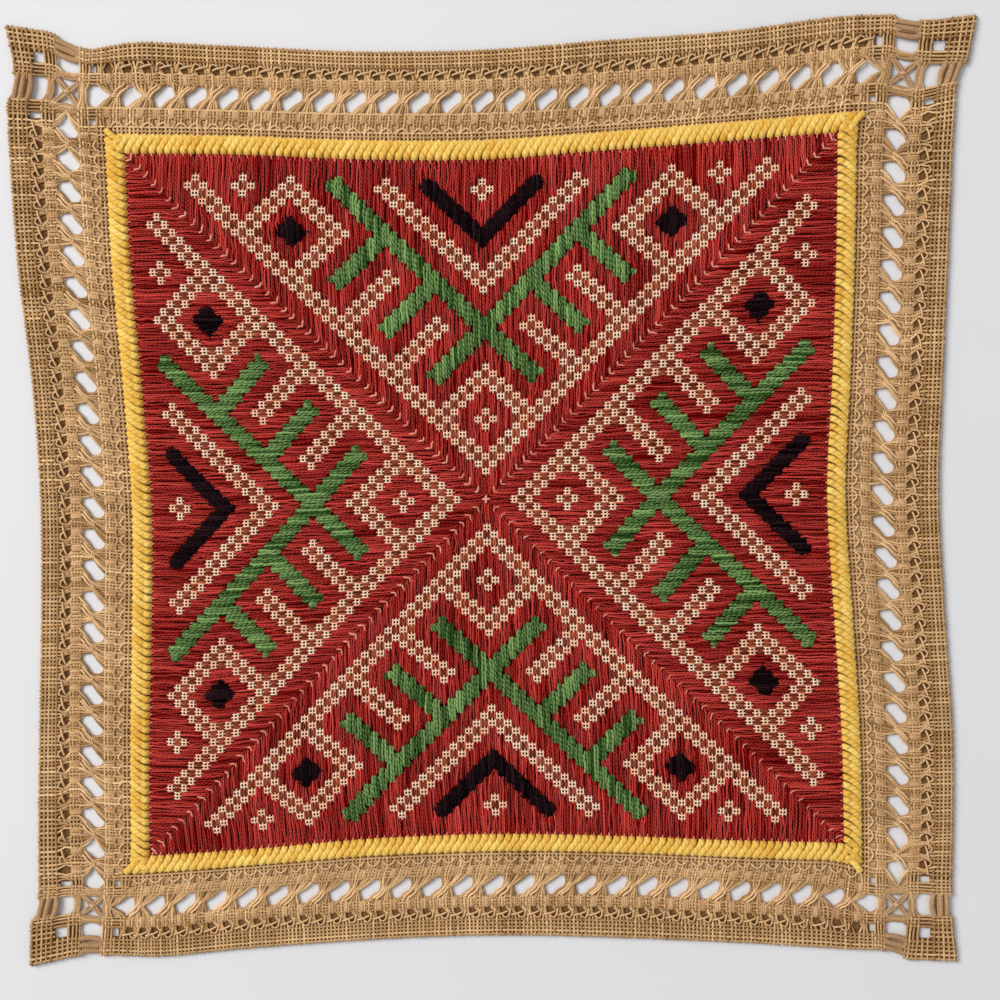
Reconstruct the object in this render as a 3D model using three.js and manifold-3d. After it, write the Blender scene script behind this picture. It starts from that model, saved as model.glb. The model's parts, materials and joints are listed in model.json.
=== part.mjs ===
// A woven table square: tan evenweave cloth with a folded hem, a drawn-thread border with round holes
// and wrapped corner bars, one yellow plaited line, and a wool-darned field in four quarters.
//
// Sizes are millimetres, +Z up. The origin is on the underside, in the middle of the cloth's box.
// Shapes are drawn in threads of the cloth, counted from its middle, and place() turns a thread count
// into millimetres with the pull and sag that the worked cloth has on each side.

import * as THREE from 'three';
import { mergeVertices } from 'three/addons/utils/BufferGeometryUtils.js';
import Module from 'manifold-3d';

const wasm = await Module();
wasm.setup();

// Driving dimensions

// Lines of the cloth, in threads from the middle
const COUNT = {
  field: 90,      // last thread under the wool field
  border: 94,     // outer side of the yellow plait
  inner_rib: [98.2, 101],   // row of woven knots inside the holes
  holes: 104.2,   // middle of the round holes
  outer_rib: [107.2, 110.4],  // row of woven knots outside the holes
  hem: 113,       // inner fold of the hem
  edge: 118,      // outer fold of the hem
};
const THREAD_MM = 1.08;          // one thread, where nothing pulls it
const CLOTH_CENTRE = { x: 1.2, y: -0.3 };  // middle of the cloth's box from the middle of the count

const THICKNESS = { cloth: 1.0, rib: 1.4, hem: 2.0 };
const GAP = 0.3;                 // between one piece and the next
const FIELD_BASE = 0.4;          // wool under the lattice bands
const FIELD_PILE = 0.45;         // wool above them
const FLOAT_HEIGHT = 0.75;       // green and black wool, above the lattice bands
const PLAIT_HEIGHT = 1.5;
const PLAIT_ROUND = 0.6;         // rounding of the plait's shoulders

// Border holes: one for each 8 threads, 12 each way from the middle of a side
const HOLE = { step: 8, each_way: 12, half_width: 2.45, half_height: 2.5, slant: 0.36, points: 8 };

// Corner windows and the wrapped bars that cross them, in threads and millimetres
const WINDOW = { from: 100.8, to: 107.6 };
const KNOT = { inner: 99.7, outer: 108.7 };
const BAR = { radius: 0.65, height: 0.75, sides: 6, steps: 2 };
const HEM_BAR = { counts: [113.7, 115.8], half_width: 1.15, half_height: 0.85, height: 0.95 };

// How far the field's edge, the line of holes and the cloth's edge lie from the middle.
// along runs left to right on the top and bottom sides, and upwards on the left and right sides.
const SIDES = {
  top: [
    { along: -100, field: 96.4, holes: 112.0, edge: 126.3 },
    { along: -67, field: 95.5, holes: 110.5, edge: 124.3 },
    { along: -33, field: 93.5, holes: 109.0, edge: 122.1 },
    { along: 0, field: 92.8, holes: 108.5, edge: 121.9 },
    { along: 33, field: 94.5, holes: 109.3, edge: 123.7 },
    { along: 67, field: 96.3, holes: 111.3, edge: 125.5 },
    { along: 100, field: 98.0, holes: 113.8, edge: 128.9 },
  ],
  bottom: [
    { along: -100, field: 97.0, holes: 111.5, edge: 126.0 },
    { along: -67, field: 95.5, holes: 109.4, edge: 123.7 },
    { along: -33, field: 93.3, holes: 108.0, edge: 122.0 },
    { along: 0, field: 92.8, holes: 107.5, edge: 121.5 },
    { along: 33, field: 94.0, holes: 108.0, edge: 122.8 },
    { along: 67, field: 96.0, holes: 110.4, edge: 124.9 },
    { along: 100, field: 97.2, holes: 112.6, edge: 127.3 },
  ],
  left: [
    { along: -100, field: 96.7, holes: 112.2, edge: 127.8 },
    { along: -67, field: 95.7, holes: 111.9, edge: 126.3 },
    { along: -33, field: 93.9, holes: 110.4, edge: 124.4 },
    { along: 0, field: 92.8, holes: 109.0, edge: 123.2 },
    { along: 33, field: 94.2, holes: 109.7, edge: 124.1 },
    { along: 67, field: 96.1, holes: 111.7, edge: 126.8 },
    { along: 100, field: 96.6, holes: 112.0, edge: 127.8 },
  ],
  right: [
    { along: -100, field: 96.6, holes: 112.0, edge: 127.0 },
    { along: -67, field: 96.2, holes: 111.7, edge: 127.0 },
    { along: -33, field: 94.3, holes: 110.0, edge: 124.9 },
    { along: 0, field: 92.7, holes: 108.0, edge: 123.4 },
    { along: 33, field: 94.4, holes: 109.5, edge: 124.6 },
    { along: 67, field: 95.7, holes: 111.0, edge: 126.2 },
    { along: 100, field: 96.2, holes: 112.0, edge: 127.5 },
  ],
};

// Where the pulled corners lie: thread counts of the corner knots outwards from the middle, and the
// [x, y] of each. b counts towards the top or bottom side; inner, outer and edge count towards the
// left or right side.
const CORNER_COUNTS = { inner: KNOT.inner, outer: KNOT.outer, edge: COUNT.edge };
const CORNERS = [
  {
    side_x: -1, side_y: 1,
    rows: [
      { b: KNOT.inner, inner: [-107.5, 107.3], outer: [-117.2, 109.5], edge: [-128.0, 110.0] },
      { b: KNOT.outer, inner: [-106.8, 116.6], outer: [-115.6, 119.0], edge: [-125.6, 120.0] },
      { b: COUNT.edge, inner: [-106.2, 124.3], outer: [-116.0, 129.3], edge: [-127.6, 131.2] },
    ],
  },
  {
    side_x: 1, side_y: 1,
    rows: [
      { b: KNOT.inner, inner: [108.3, 109.3], outer: [118.0, 107.3], edge: [128.2, 109.5] },
      { b: KNOT.outer, inner: [110.0, 119.3], outer: [119.7, 117.6], edge: [131.8, 117.0] },
      { b: COUNT.edge, inner: [110.5, 129.0], outer: [120.5, 127.2], edge: [133.9, 128.5] },
    ],
  },
  {
    side_x: -1, side_y: -1,
    rows: [
      { b: KNOT.inner, inner: [-108.5, -107.0], outer: [-117.2, -106.5], edge: [-128.0, -107.0] },
      { b: KNOT.outer, inner: [-109.3, -115.7], outer: [-118.3, -114.5], edge: [-130.8, -116.0] },
      { b: COUNT.edge, inner: [-110.0, -125.0], outer: [-118.8, -125.2], edge: [-131.5, -127.8] },
    ],
  },
  {
    side_x: 1, side_y: -1,
    rows: [
      { b: KNOT.inner, inner: [107.0, -111.0], outer: [115.7, -110.5], edge: [126.7, -111.0] },
      { b: KNOT.outer, inner: [106.5, -119.0], outer: [116.0, -120.0], edge: [127.0, -120.5] },
      { b: COUNT.edge, inner: [106.5, -127.9], outer: [114.5, -131.0], edge: [128.2, -131.8] },
    ],
  },
];
const CORNER_FADE = 16;          // threads over which a corner's pull dies out along the sides

// How far the worked field is pulled, as [x, y] in millimetres, at counts 72 and 36 each side of its
// middle. Rows run from the bottom side up.
const FIELD_PULL = {
  first: -72,
  step: 36,
  fade: 20,                      // threads beyond the last count over which it dies out
  rows: [
    [[-1.4, -1.3], [-1.4, 0.0], [-0.3, 0.1], [0.1, -0.5], [0.7, -0.6]],
    [[-1.5, -1.0], [-1.8, -0.3], [-0.8, 0.9], [-0.5, -0.7], [-0.1, 0.1]],
    [[-0.6, -0.5], [-1.2, 0.4], [-0.9, 0.7], [-1.2, 0.1], [-0.5, 0.4]],
    [[-1.0, 0.0], [-1.1, 0.7], [-0.3, -0.3], [-0.1, 0.7], [0.0, 0.4]],
    [[-1.2, 0.1], [-1.1, 0.7], [-0.4, 0.2], [-0.2, 0.3], [0.5, 0.8]],
  ],
};
// Threads by which the wool draws the pattern's middle in, dying out at the count where it ends
const DRAWN_IN = { threads: 0.6, end: 36 };

// How far the border has slid along each side at its two ends, clockwise, in threads
const BORDER_SLIDE = {
  top: { start: 0.2, end: 0.9 },
  right: { start: 0.0, end: 0.9 },
  bottom: { start: 0.9, end: 1.3 },
  left: { start: 0.2, end: 0.8 },
};
const SLIDE_ENDS = { from: 84, to: 97 };   // counts along a side over which a slide dies out
const SLIDE_STARTS = { from: 97, to: 101 };   // counts outwards over which it begins

// The darned pattern of one quarter, in steps of its slanting lattice. Step p runs out to the right
// and step q out to the left of the quarter's middle line, so a cell's count across is 2 (p - q)
// threads and its count outwards is 2 (p + q) threads. Each row is mirrored in the middle line.
const STEP_THREADS = 2;
const LATTICE_BANDS = [
  { p: [1.5, 39.5], q: [1.5, 3.5] },     // long band beside the seam of two quarters
  { p: [7.5, 9.5], q: [2.5, 9.5] },      // diamond near the middle
  { p: [4.5, 6.5], q: [4.5, 6.5] },      // its star
  { p: [13.5, 15.5], q: [2.5, 9.5] },    // first short bar
  { p: [19.5, 21.5], q: [2.5, 9.5] },    // second short bar
  { p: [13.5, 27.5], q: [13.5, 15.5] },  // V over the branches
  { p: [34.5, 36.5], q: [4.5, 6.5] },    // star beside the corner diamond
  { p: [19.5, 21.5], q: [19.5, 21.5] },  // star at the side's middle
];
const CORNER_DIAMOND = { p: [25.5, 33.5], q: [2.5, 9.5], wall: 2 };
const BRANCHES = [
  { p: [4.7, 30.6], q: [10.7, 12.3] },
  { p: [16.7, 18.3], q: [4.7, 11.5] },
  { p: [22.7, 24.3], q: [4.8, 11.5] },
];
const CHEVRON = [{ p: [16.65, 24.8], q: [16.65, 18.1] }];
const EYE = { p: [28.4, 30.6], q: [4.6, 6.7], corner: 0.45 };

const LONGEST_EDGE = 23;         // threads between two points of an outline, so that it can bend

const COLOURS = { tan: 0xc9a46a, yellow: 0xe3b13c, red: 0x8f1a1e, green: 0x4f8a48, black: 0x1d161e };

// From threads to millimetres

// A value of a side's table between its rows, on a smooth curve through them
function readSide(side, along, column) {
  const rows = SIDES[side];
  const last = rows.length - 1;
  if (along <= rows[0].along) return rows[0][column];
  if (along >= rows[last].along) return rows[last][column];
  let i = 0;
  while (along > rows[i + 1].along) i += 1;
  const before = rows[Math.max(i - 1, 0)][column];
  const after = rows[Math.min(i + 2, last)][column];
  const start = rows[i][column];
  const end = rows[i + 1][column];
  const t = (along - rows[i].along) / (rows[i + 1].along - rows[i].along);
  const startSlope = (end - before) / 2;
  const endSlope = (after - start) / 2;
  return start + t * (startSlope + t * (3 * (end - start) - 2 * startSlope - endSlope
    + t * (2 * (start - end) + startSlope + endSlope)));
}

// How far out a thread lies on one side
function reach(side, along, count) {
  const field = readSide(side, along, 'field');
  if (count <= COUNT.field) return field * count / COUNT.field;
  const holes = readSide(side, along, 'holes');
  if (count <= COUNT.holes) {
    return THREE.MathUtils.mapLinear(count, COUNT.field, COUNT.holes, field, holes);
  }
  const edge = readSide(side, along, 'edge');
  return THREE.MathUtils.mapLinear(count, COUNT.holes, COUNT.edge, holes, edge);
}

// How far the worked field is pulled at a place, in millimetres
function fieldPull(a, b) {
  const { first, step, fade, rows } = FIELD_PULL;
  const last = -first;
  const lastCell = rows.length - 2;
  const across = (THREE.MathUtils.clamp(a, first, last) - first) / step;
  const up = (THREE.MathUtils.clamp(b, first, last) - first) / step;
  const column = Math.min(Math.floor(across), lastCell);
  const row = Math.min(Math.floor(up), lastCell);
  const at = (i, j) => new THREE.Vector2(...rows[i][j]);
  const low = at(row, column).lerp(at(row, column + 1), across - column);
  const high = at(row + 1, column).lerp(at(row + 1, column + 1), across - column);
  const out = Math.max(Math.abs(a), Math.abs(b));
  return low.lerp(high, up - row).multiplyScalar(1 - THREE.MathUtils.smoothstep(out, last, last + fade));
}

// How far the border has slid along one side, in millimetres
function borderSlide(side, u, w) {
  const { start, end } = BORDER_SLIDE[side];
  const amount = THREE.MathUtils.lerp(start, end, (THREE.MathUtils.clamp(u / COUNT.field, -1, 1) + 1) / 2);
  const ends = 1 - THREE.MathUtils.smoothstep(Math.abs(u), SLIDE_ENDS.from, SLIDE_ENDS.to);
  return amount * ends * THREE.MathUtils.smoothstep(w, SLIDE_STARTS.from, SLIDE_STARTS.to) * THREAD_MM;
}

function placeBySides(a, b) {
  const x = Math.sign(a) * reach(a >= 0 ? 'right' : 'left', b * THREAD_MM, Math.abs(a))
    + borderSlide('top', a, b) - borderSlide('bottom', -a, -b);
  const y = Math.sign(b) * reach(b >= 0 ? 'top' : 'bottom', a * THREAD_MM, Math.abs(b))
    + borderSlide('left', b, -a) - borderSlide('right', -b, a);
  return new THREE.Vector2(x, y).add(fieldPull(a, b));
}

// A count outwards after the wool has drawn the cloth in towards the middle
function drawnIn(out) {
  return out - DRAWN_IN.threads * Math.max(0, 1 - out / DRAWN_IN.end);
}

// How far each corner knot is pulled from where the sides alone would put it
function cornerPulls(corner) {
  return corner.rows.map((row) => Object.keys(CORNER_COUNTS).map((column) => {
    const bySides = placeBySides(corner.side_x * CORNER_COUNTS[column], corner.side_y * row.b);
    return new THREE.Vector2(...row[column]).sub(bySides);
  }));
}
const PULLS = CORNERS.map((corner) => ({ ...corner, grid: cornerPulls(corner) }));

// A count as a place on the corner's 3 by 3 grid, from 0 at the inner knots to 2 at the edge
function gridPlace(count) {
  if (count <= KNOT.outer) {
    return THREE.MathUtils.clamp((count - KNOT.inner) / (KNOT.outer - KNOT.inner), 0, 1);
  }
  return Math.min(1 + (count - KNOT.outer) / (COUNT.edge - KNOT.outer), 2);
}

function cornerPull(a, b) {
  const corner = PULLS.find((c) => c.side_x === Math.sign(a) && c.side_y === Math.sign(b));
  const nearA = THREE.MathUtils.smoothstep(Math.abs(a), KNOT.inner - CORNER_FADE, KNOT.inner);
  const nearB = THREE.MathUtils.smoothstep(Math.abs(b), KNOT.inner - CORNER_FADE, KNOT.inner);
  if (!corner || nearA * nearB === 0) return new THREE.Vector2();
  const s = gridPlace(Math.abs(a));
  const t = gridPlace(Math.abs(b));
  const column = Math.min(Math.floor(s), 1);
  const row = Math.min(Math.floor(t), 1);
  const low = corner.grid[row][column].clone().lerp(corner.grid[row][column + 1], s - column);
  const high = corner.grid[row + 1][column].clone().lerp(corner.grid[row + 1][column + 1], s - column);
  return low.lerp(high, t - row).multiplyScalar(nearA * nearB);
}

// The place of thread a across and thread b up, in millimetres
function place(a, b) {
  const point = placeBySides(a, b).add(cornerPull(a, b));
  return point.sub(CLOTH_CENTRE);
}

// Solids

// The four quarter turns that carry a shape on the top side to each side
const TURNS = {
  top: (u, w) => [u, w],
  right: (u, w) => [w, -u],
  bottom: (u, w) => [-u, -w],
  left: (u, w) => [-w, u],
};

// An outline in threads, with points added so that its edges follow the bent cloth
function bend(outline) {
  const points = [];
  outline.forEach(([a, b], i) => {
    const [nextA, nextB] = outline[(i + 1) % outline.length];
    const pieces = Math.ceil(Math.hypot(nextA - a, nextB - b) / LONGEST_EDGE);
    for (let k = 0; k < pieces; k += 1) {
      const t = k / pieces;
      points.push(place(a + (nextA - a) * t, b + (nextB - b) * t));
    }
  });
  return points;
}

function solidFrom(geometry) {
  geometry.deleteAttribute('normal');
  geometry.deleteAttribute('uv');
  const merged = mergeVertices(geometry, 1e-4);
  const mesh = new wasm.Mesh({
    numProp: 3,
    vertProperties: new Float32Array(merged.attributes.position.array),
    triVerts: new Uint32Array(merged.index.array),
  });
  mesh.merge();
  return new wasm.Manifold(mesh);
}

function geometryFrom(solid) {
  const mesh = solid.getMesh();
  const geometry = new THREE.BufferGeometry();
  geometry.setAttribute('position', new THREE.BufferAttribute(mesh.vertProperties, 3));
  geometry.setIndex(new THREE.BufferAttribute(mesh.triVerts, 1));
  geometry.computeVertexNormals();
  return geometry;
}

// A flat plate with this outline in threads, from one height to another
function plate(outline, low, high) {
  const shape = new THREE.Shape(bend(outline));
  const geometry = new THREE.ExtrudeGeometry(shape, { depth: high - low, bevelEnabled: false });
  geometry.translate(0, 0, low);
  return solidFrom(geometry);
}

// A square ring of points, with one at each corner knot that it passes
function square(count) {
  const knots = [KNOT.inner, KNOT.outer].filter((knot) => knot < count);
  const stops = [...knots.map((knot) => -knot).reverse(), ...knots, count];
  return Object.values(TURNS).flatMap((turn) => stops.map((stop) => turn(stop, count)));
}

function frame(outer, inner, low, high) {
  return plate(square(outer), low, high).subtract(plate(square(inner), low - 1, high + 1));
}

// A wrapped bar between two places in threads
function bar(from, to, halfWidth, halfHeight, height, sides) {
  const section = new THREE.Shape();
  for (let k = 0; k < sides; k += 1) {
    const turn = (k + 0.5) * 2 * Math.PI / sides;
    const x = halfHeight * Math.cos(turn);
    const y = halfWidth * Math.sin(turn);
    if (k === 0) section.moveTo(x, y);
    else section.lineTo(x, y);
  }
  section.closePath();
  const points = [];
  for (let k = 0; k <= BAR.steps; k += 1) {
    const t = k / BAR.steps;
    const point = place(from[0] + (to[0] - from[0]) * t, from[1] + (to[1] - from[1]) * t);
    points.push(new THREE.Vector3(point.x, point.y, height));
  }
  const path = new THREE.CatmullRomCurve3(points);
  return solidFrom(new THREE.ExtrudeGeometry(section, { steps: BAR.steps, extrudePath: path }));
}

// The ground cloth

function borderHole(turn, along) {
  const outline = [];
  for (let k = 0; k < HOLE.points; k += 1) {
    const angle = (k + 0.5) * 2 * Math.PI / HOLE.points;
    const up = HOLE.half_height * Math.sin(angle);
    const across = HOLE.half_width * Math.cos(angle) + HOLE.slant * up;
    outline.push(turn(along + across, COUNT.holes + up));
  }
  return plate(outline, -1, THICKNESS.hem + 1);
}

function groundCloth() {
  let cloth = plate(square(COUNT.edge), 0, THICKNESS.cloth);
  cloth = cloth.add(frame(COUNT.edge, COUNT.hem, 0, THICKNESS.hem));
  for (const [inner, outer] of [COUNT.inner_rib, COUNT.outer_rib]) {
    cloth = cloth.add(frame(outer, inner, 0, THICKNESS.rib));
  }
  for (const turn of Object.values(TURNS)) {
    for (let k = -HOLE.each_way; k <= HOLE.each_way; k += 1) {
      cloth = cloth.subtract(borderHole(turn, k * HOLE.step));
    }
  }
  const past = COUNT.edge + 3;
  for (const corner of CORNERS) {
    const at = (a, b) => [corner.side_x * a, corner.side_y * b];
    const { from, to } = WINDOW;
    const up = [at(from, from), at(to, from), at(to, past), at(from, past)];
    const out = [at(from, from), at(past, from), at(past, to), at(from, to)];
    for (const window of [up, out]) {
      cloth = cloth.subtract(plate(window, -1, THICKNESS.hem + 1));
    }
    const round = (start, end) => bar(start, end, BAR.radius, BAR.radius, BAR.height, BAR.sides);
    cloth = cloth.add(round(at(from - 0.7, KNOT.outer), at(to + 0.7, KNOT.outer)));
    cloth = cloth.add(round(at(KNOT.outer, from - 0.7), at(KNOT.outer, to + 0.7)));
    cloth = cloth.add(round(at(from - 0.5, from - 0.5), at(to + 0.5, to + 0.5)));
    cloth = cloth.add(round(at(from - 0.5, KNOT.outer - 0.6), at(KNOT.outer - 0.6, from - 0.5)));
    for (const count of HEM_BAR.counts) {
      const { half_width: wide, half_height: tall, height } = HEM_BAR;
      cloth = cloth.add(bar(at(from - 0.8, count), at(to + 0.8, count), wide, tall, height, 8));
      cloth = cloth.add(bar(at(count, from - 0.8), at(count, to + 0.8), wide, tall, height, 8));
    }
  }
  return cloth;
}

// The yellow plait

function yellowPlait() {
  const inset = GAP / THREAD_MM;
  const shape = new THREE.Shape(bend(square(COUNT.border)));
  shape.holes.push(new THREE.Path(bend(square(COUNT.field + inset)).reverse()));
  const geometry = new THREE.ExtrudeGeometry(shape, {
    depth: PLAIT_HEIGHT - 2 * PLAIT_ROUND,
    bevelThickness: PLAIT_ROUND,
    bevelSize: PLAIT_ROUND,
    bevelOffset: -PLAIT_ROUND,
    bevelSegments: 2,
  });
  geometry.translate(0, 0, THICKNESS.cloth + GAP + PLAIT_ROUND);
  return solidFrom(geometry);
}

// The darned field

// A lattice step of a quarter as threads, turned to its side
function stepPoint(turn, p, q) {
  return turn(STEP_THREADS * (p - q), drawnIn(STEP_THREADS * (p + q)));
}

// The part of an outline on the right of a quarter's middle line, where p is q or more
function rightHalf(outline) {
  return outline.flatMap(([p, q], i) => {
    const [nextP, nextQ] = outline[(i + 1) % outline.length];
    const points = p >= q ? [[p, q]] : [];
    if ((p - q) * (nextP - nextQ) < 0) {
      const t = (p - q) / (p - q - nextP + nextQ);
      const meet = p + (nextP - p) * t;
      points.push([meet, meet]);
    }
    return points;
  });
}

// A plate for a pattern outline and one for its mirror image. A shape that ends on the middle line
// meets its image there, and one that runs over it crosses its image.
function patternPair(turn, outline, low, high) {
  const mirrored = outline.map(([p, q]) => [q, p]);
  return [outline, mirrored].map((side) => (
    plate(side.map(([p, q]) => stepPoint(turn, p, q)), low, high)));
}

function boxOutline({ p, q }, margin) {
  const grow = margin / (STEP_THREADS * THREAD_MM * Math.SQRT2);
  return [[p[0] - grow, q[0] - grow], [p[1] + grow, q[0] - grow],
    [p[1] + grow, q[1] + grow], [p[0] - grow, q[1] + grow]];
}

function joined(parts) {
  return parts.reduce((whole, next) => whole.add(next));
}

function latticeBands(turn, low, high) {
  const { p, q, wall } = CORNER_DIAMOND;
  const diamond = [[p[0], q[0]], [p[0] + wall, q[0]], [p[0] + wall, q[1] - wall], [p[1] - wall, q[1] - wall],
    [p[1] - wall, q[0]], [p[1], q[0]], [p[1], q[1]], [p[0], q[1]]];
  const outlines = [...LATTICE_BANDS.map((row) => rightHalf(boxOutline(row, 0))), diamond];
  return joined(outlines.flatMap((outline) => patternPair(turn, outline, low, high)));
}

function branches(turn, margin, low, high) {
  return joined(BRANCHES.flatMap((row) => patternPair(turn, boxOutline(row, margin), low, high)));
}

function chevron(turn, margin, low, high) {
  return joined(CHEVRON.flatMap((row) => patternPair(turn, rightHalf(boxOutline(row, margin)), low, high)));
}

// The two eyes of a quarter, each with its corners cut
function eyes(turn, margin, low, high) {
  const [[left, bottom], , [right, top]] = boxOutline(EYE, margin);
  const cut = EYE.corner;
  const outline = [[left + cut, bottom], [right - cut, bottom], [right, bottom + cut], [right, top - cut],
    [right - cut, top], [left + cut, top], [left, top - cut], [left, bottom + cut]];
  return patternPair(turn, outline, low, high);
}

const FIELD_LOW = THICKNESS.cloth + GAP;
const BAND_TOP = FIELD_LOW + FIELD_BASE;
const FIELD_TOP = BAND_TOP + FIELD_PILE;
const FLOAT_LOW = BAND_TOP + GAP;
const FLOAT_TOP = BAND_TOP + FLOAT_HEIGHT;

function redQuarter(turn) {
  const seam = GAP / Math.SQRT2 / THREAD_MM;
  const out = COUNT.field;
  const outline = [turn(0, seam), turn(out - seam, out), turn(seam - out, out)];
  const past = FIELD_TOP + 1;
  return plate(outline, FIELD_LOW, FIELD_TOP)
    .subtract(latticeBands(turn, BAND_TOP, past))
    .subtract(branches(turn, GAP, BAND_TOP, past))
    .subtract(chevron(turn, GAP, BAND_TOP, past))
    .subtract(joined(eyes(turn, GAP, BAND_TOP, past)));
}

// The scene

const FINISHES = Object.fromEntries(Object.entries(COLOURS).map(([name, color]) => [
  name, new THREE.MeshStandardMaterial({ color, roughness: 0.9, metalness: 0 }),
]));

function named(name, solid, finish) {
  const mesh = new THREE.Mesh(geometryFrom(solid), FINISHES[finish]);
  mesh.name = name;
  return mesh;
}

const mat = new THREE.Group();
mat.add(named('ground_cloth', groundCloth(), 'tan'));
mat.add(named('yellow_border', yellowPlait(), 'yellow'));
for (const [side, turn] of Object.entries(TURNS)) {
  const [rightEye, leftEye] = eyes(turn, 0, FLOAT_LOW, FLOAT_TOP);
  mat.add(named(`red_field_${side}`, redQuarter(turn), 'red'));
  mat.add(named(`green_branches_${side}`, branches(turn, 0, FLOAT_LOW, FLOAT_TOP), 'green'));
  mat.add(named(`black_chevron_${side}`, chevron(turn, 0, FLOAT_LOW, FLOAT_TOP), 'black'));
  mat.add(named(`black_eye_${side}_a`, rightEye, 'black'));
  mat.add(named(`black_eye_${side}_b`, leftEye, 'black'));
}

export default mat;
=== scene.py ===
"""Visual model of a woven table square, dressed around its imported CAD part.

Every yarn is a real strand. Its centre-line is laid out in threads of the cloth, counted from the
middle, ClothPlan turns the counts into places on the pulled cloth, and one Geometry Nodes tree spins
the yarn along the centre-lines.
"""

import json
import logging
import math
from dataclasses import dataclass
from enum import Enum

import bpy
import numpy as np
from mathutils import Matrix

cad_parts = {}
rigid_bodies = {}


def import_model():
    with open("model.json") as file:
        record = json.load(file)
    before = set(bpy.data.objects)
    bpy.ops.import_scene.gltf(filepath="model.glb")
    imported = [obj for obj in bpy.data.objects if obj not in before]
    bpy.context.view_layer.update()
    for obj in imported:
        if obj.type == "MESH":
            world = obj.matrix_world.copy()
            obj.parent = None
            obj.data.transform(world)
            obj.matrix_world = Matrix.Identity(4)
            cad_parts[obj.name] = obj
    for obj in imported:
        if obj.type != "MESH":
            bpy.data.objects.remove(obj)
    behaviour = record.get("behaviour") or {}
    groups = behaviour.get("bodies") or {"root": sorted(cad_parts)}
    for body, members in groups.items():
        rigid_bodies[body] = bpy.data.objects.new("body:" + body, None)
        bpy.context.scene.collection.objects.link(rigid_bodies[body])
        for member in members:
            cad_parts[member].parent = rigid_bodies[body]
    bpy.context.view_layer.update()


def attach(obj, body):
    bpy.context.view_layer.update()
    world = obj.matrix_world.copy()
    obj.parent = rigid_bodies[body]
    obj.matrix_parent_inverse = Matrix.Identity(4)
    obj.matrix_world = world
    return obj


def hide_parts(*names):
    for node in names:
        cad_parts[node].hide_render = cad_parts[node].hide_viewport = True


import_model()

log = logging.getLogger("table_square")

MM = 0.001


class Side(Enum):
    """The four sides of the mat, each with the turn that carries a shape from the top side to it."""

    TOP = "top"
    RIGHT = "right"
    BOTTOM = "bottom"
    LEFT = "left"

    def turn(self, u: np.ndarray, w: np.ndarray) -> tuple[np.ndarray, np.ndarray]:
        """Counts across (a) and up (b) of a point u along this side and w out from the middle."""
        turned = {Side.TOP: (u, w), Side.RIGHT: (w, -u), Side.BOTTOM: (-u, -w), Side.LEFT: (-w, u)}
        return turned[self]

    @property
    def way(self) -> int:
        """1 where counts grow towards this side, and -1 where they fall."""
        return 1 if self in (Side.TOP, Side.RIGHT) else -1

    @property
    def upright(self) -> bool:
        """Whether the threads that end at this side run up and down."""
        return self in (Side.TOP, Side.BOTTOM)


# Lines of the cloth, in threads from its middle
FIELD = 90.0
BORDER = 94.0
INNER_RIB = (98.2, 101.0)
HOLES = 104.2
OUTER_RIB = (107.2, 110.4)
HEM = 113.0
EDGE = 118.0
WINDOW = (100.8, 107.6)
LAST_PLAIN = 97.0
THREAD = 1.08
CLOTH_CENTRE = (1.2, -0.3)
INNER_KNOT = 99.7
OUTER_KNOT = 108.7
CORNER_FADE = 16.0
HOLE_STEP = 8
HOLES_EACH_WAY = 12
GROUP = 4
LAST_THREAD = 94
LAST_COLUMN = 45
DRAWN_IN = 0.6
DRAWN_IN_REACH = 36.0

# Heights in millimetres
BASE_TOP = 0.5
HEM_BASE_TOP = 1.1
FIELD_BASE_TOP = 1.0

# For each side: (place along it, then how far out the field's edge, the holes and the cloth's edge lie)
SIDE_LINES = {
    Side.TOP: (
        (-100, 96.4, 112.0, 126.3), (-67, 95.5, 110.5, 124.3), (-33, 93.5, 109.0, 122.1),
        (0, 92.8, 108.5, 121.9), (33, 94.5, 109.3, 123.7), (67, 96.3, 111.3, 125.5),
        (100, 98.0, 113.8, 128.9),
    ),
    Side.BOTTOM: (
        (-100, 97.0, 111.5, 126.0), (-67, 95.5, 109.4, 123.7), (-33, 93.3, 108.0, 122.0),
        (0, 92.8, 107.5, 121.5), (33, 94.0, 108.0, 122.8), (67, 96.0, 110.4, 124.9),
        (100, 97.2, 112.6, 127.3),
    ),
    Side.LEFT: (
        (-100, 96.7, 112.2, 127.8), (-67, 95.7, 111.9, 126.3), (-33, 93.9, 110.4, 124.4),
        (0, 92.8, 109.0, 123.2), (33, 94.2, 109.7, 124.1), (67, 96.1, 111.7, 126.8),
        (100, 96.6, 112.0, 127.8),
    ),
    Side.RIGHT: (
        (-100, 96.6, 112.0, 127.0), (-67, 96.2, 111.7, 127.0), (-33, 94.3, 110.0, 124.9),
        (0, 92.7, 108.0, 123.4), (33, 94.4, 109.5, 124.6), (67, 95.7, 111.0, 126.2),
        (100, 96.2, 112.0, 127.5),
    ),
}

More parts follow.
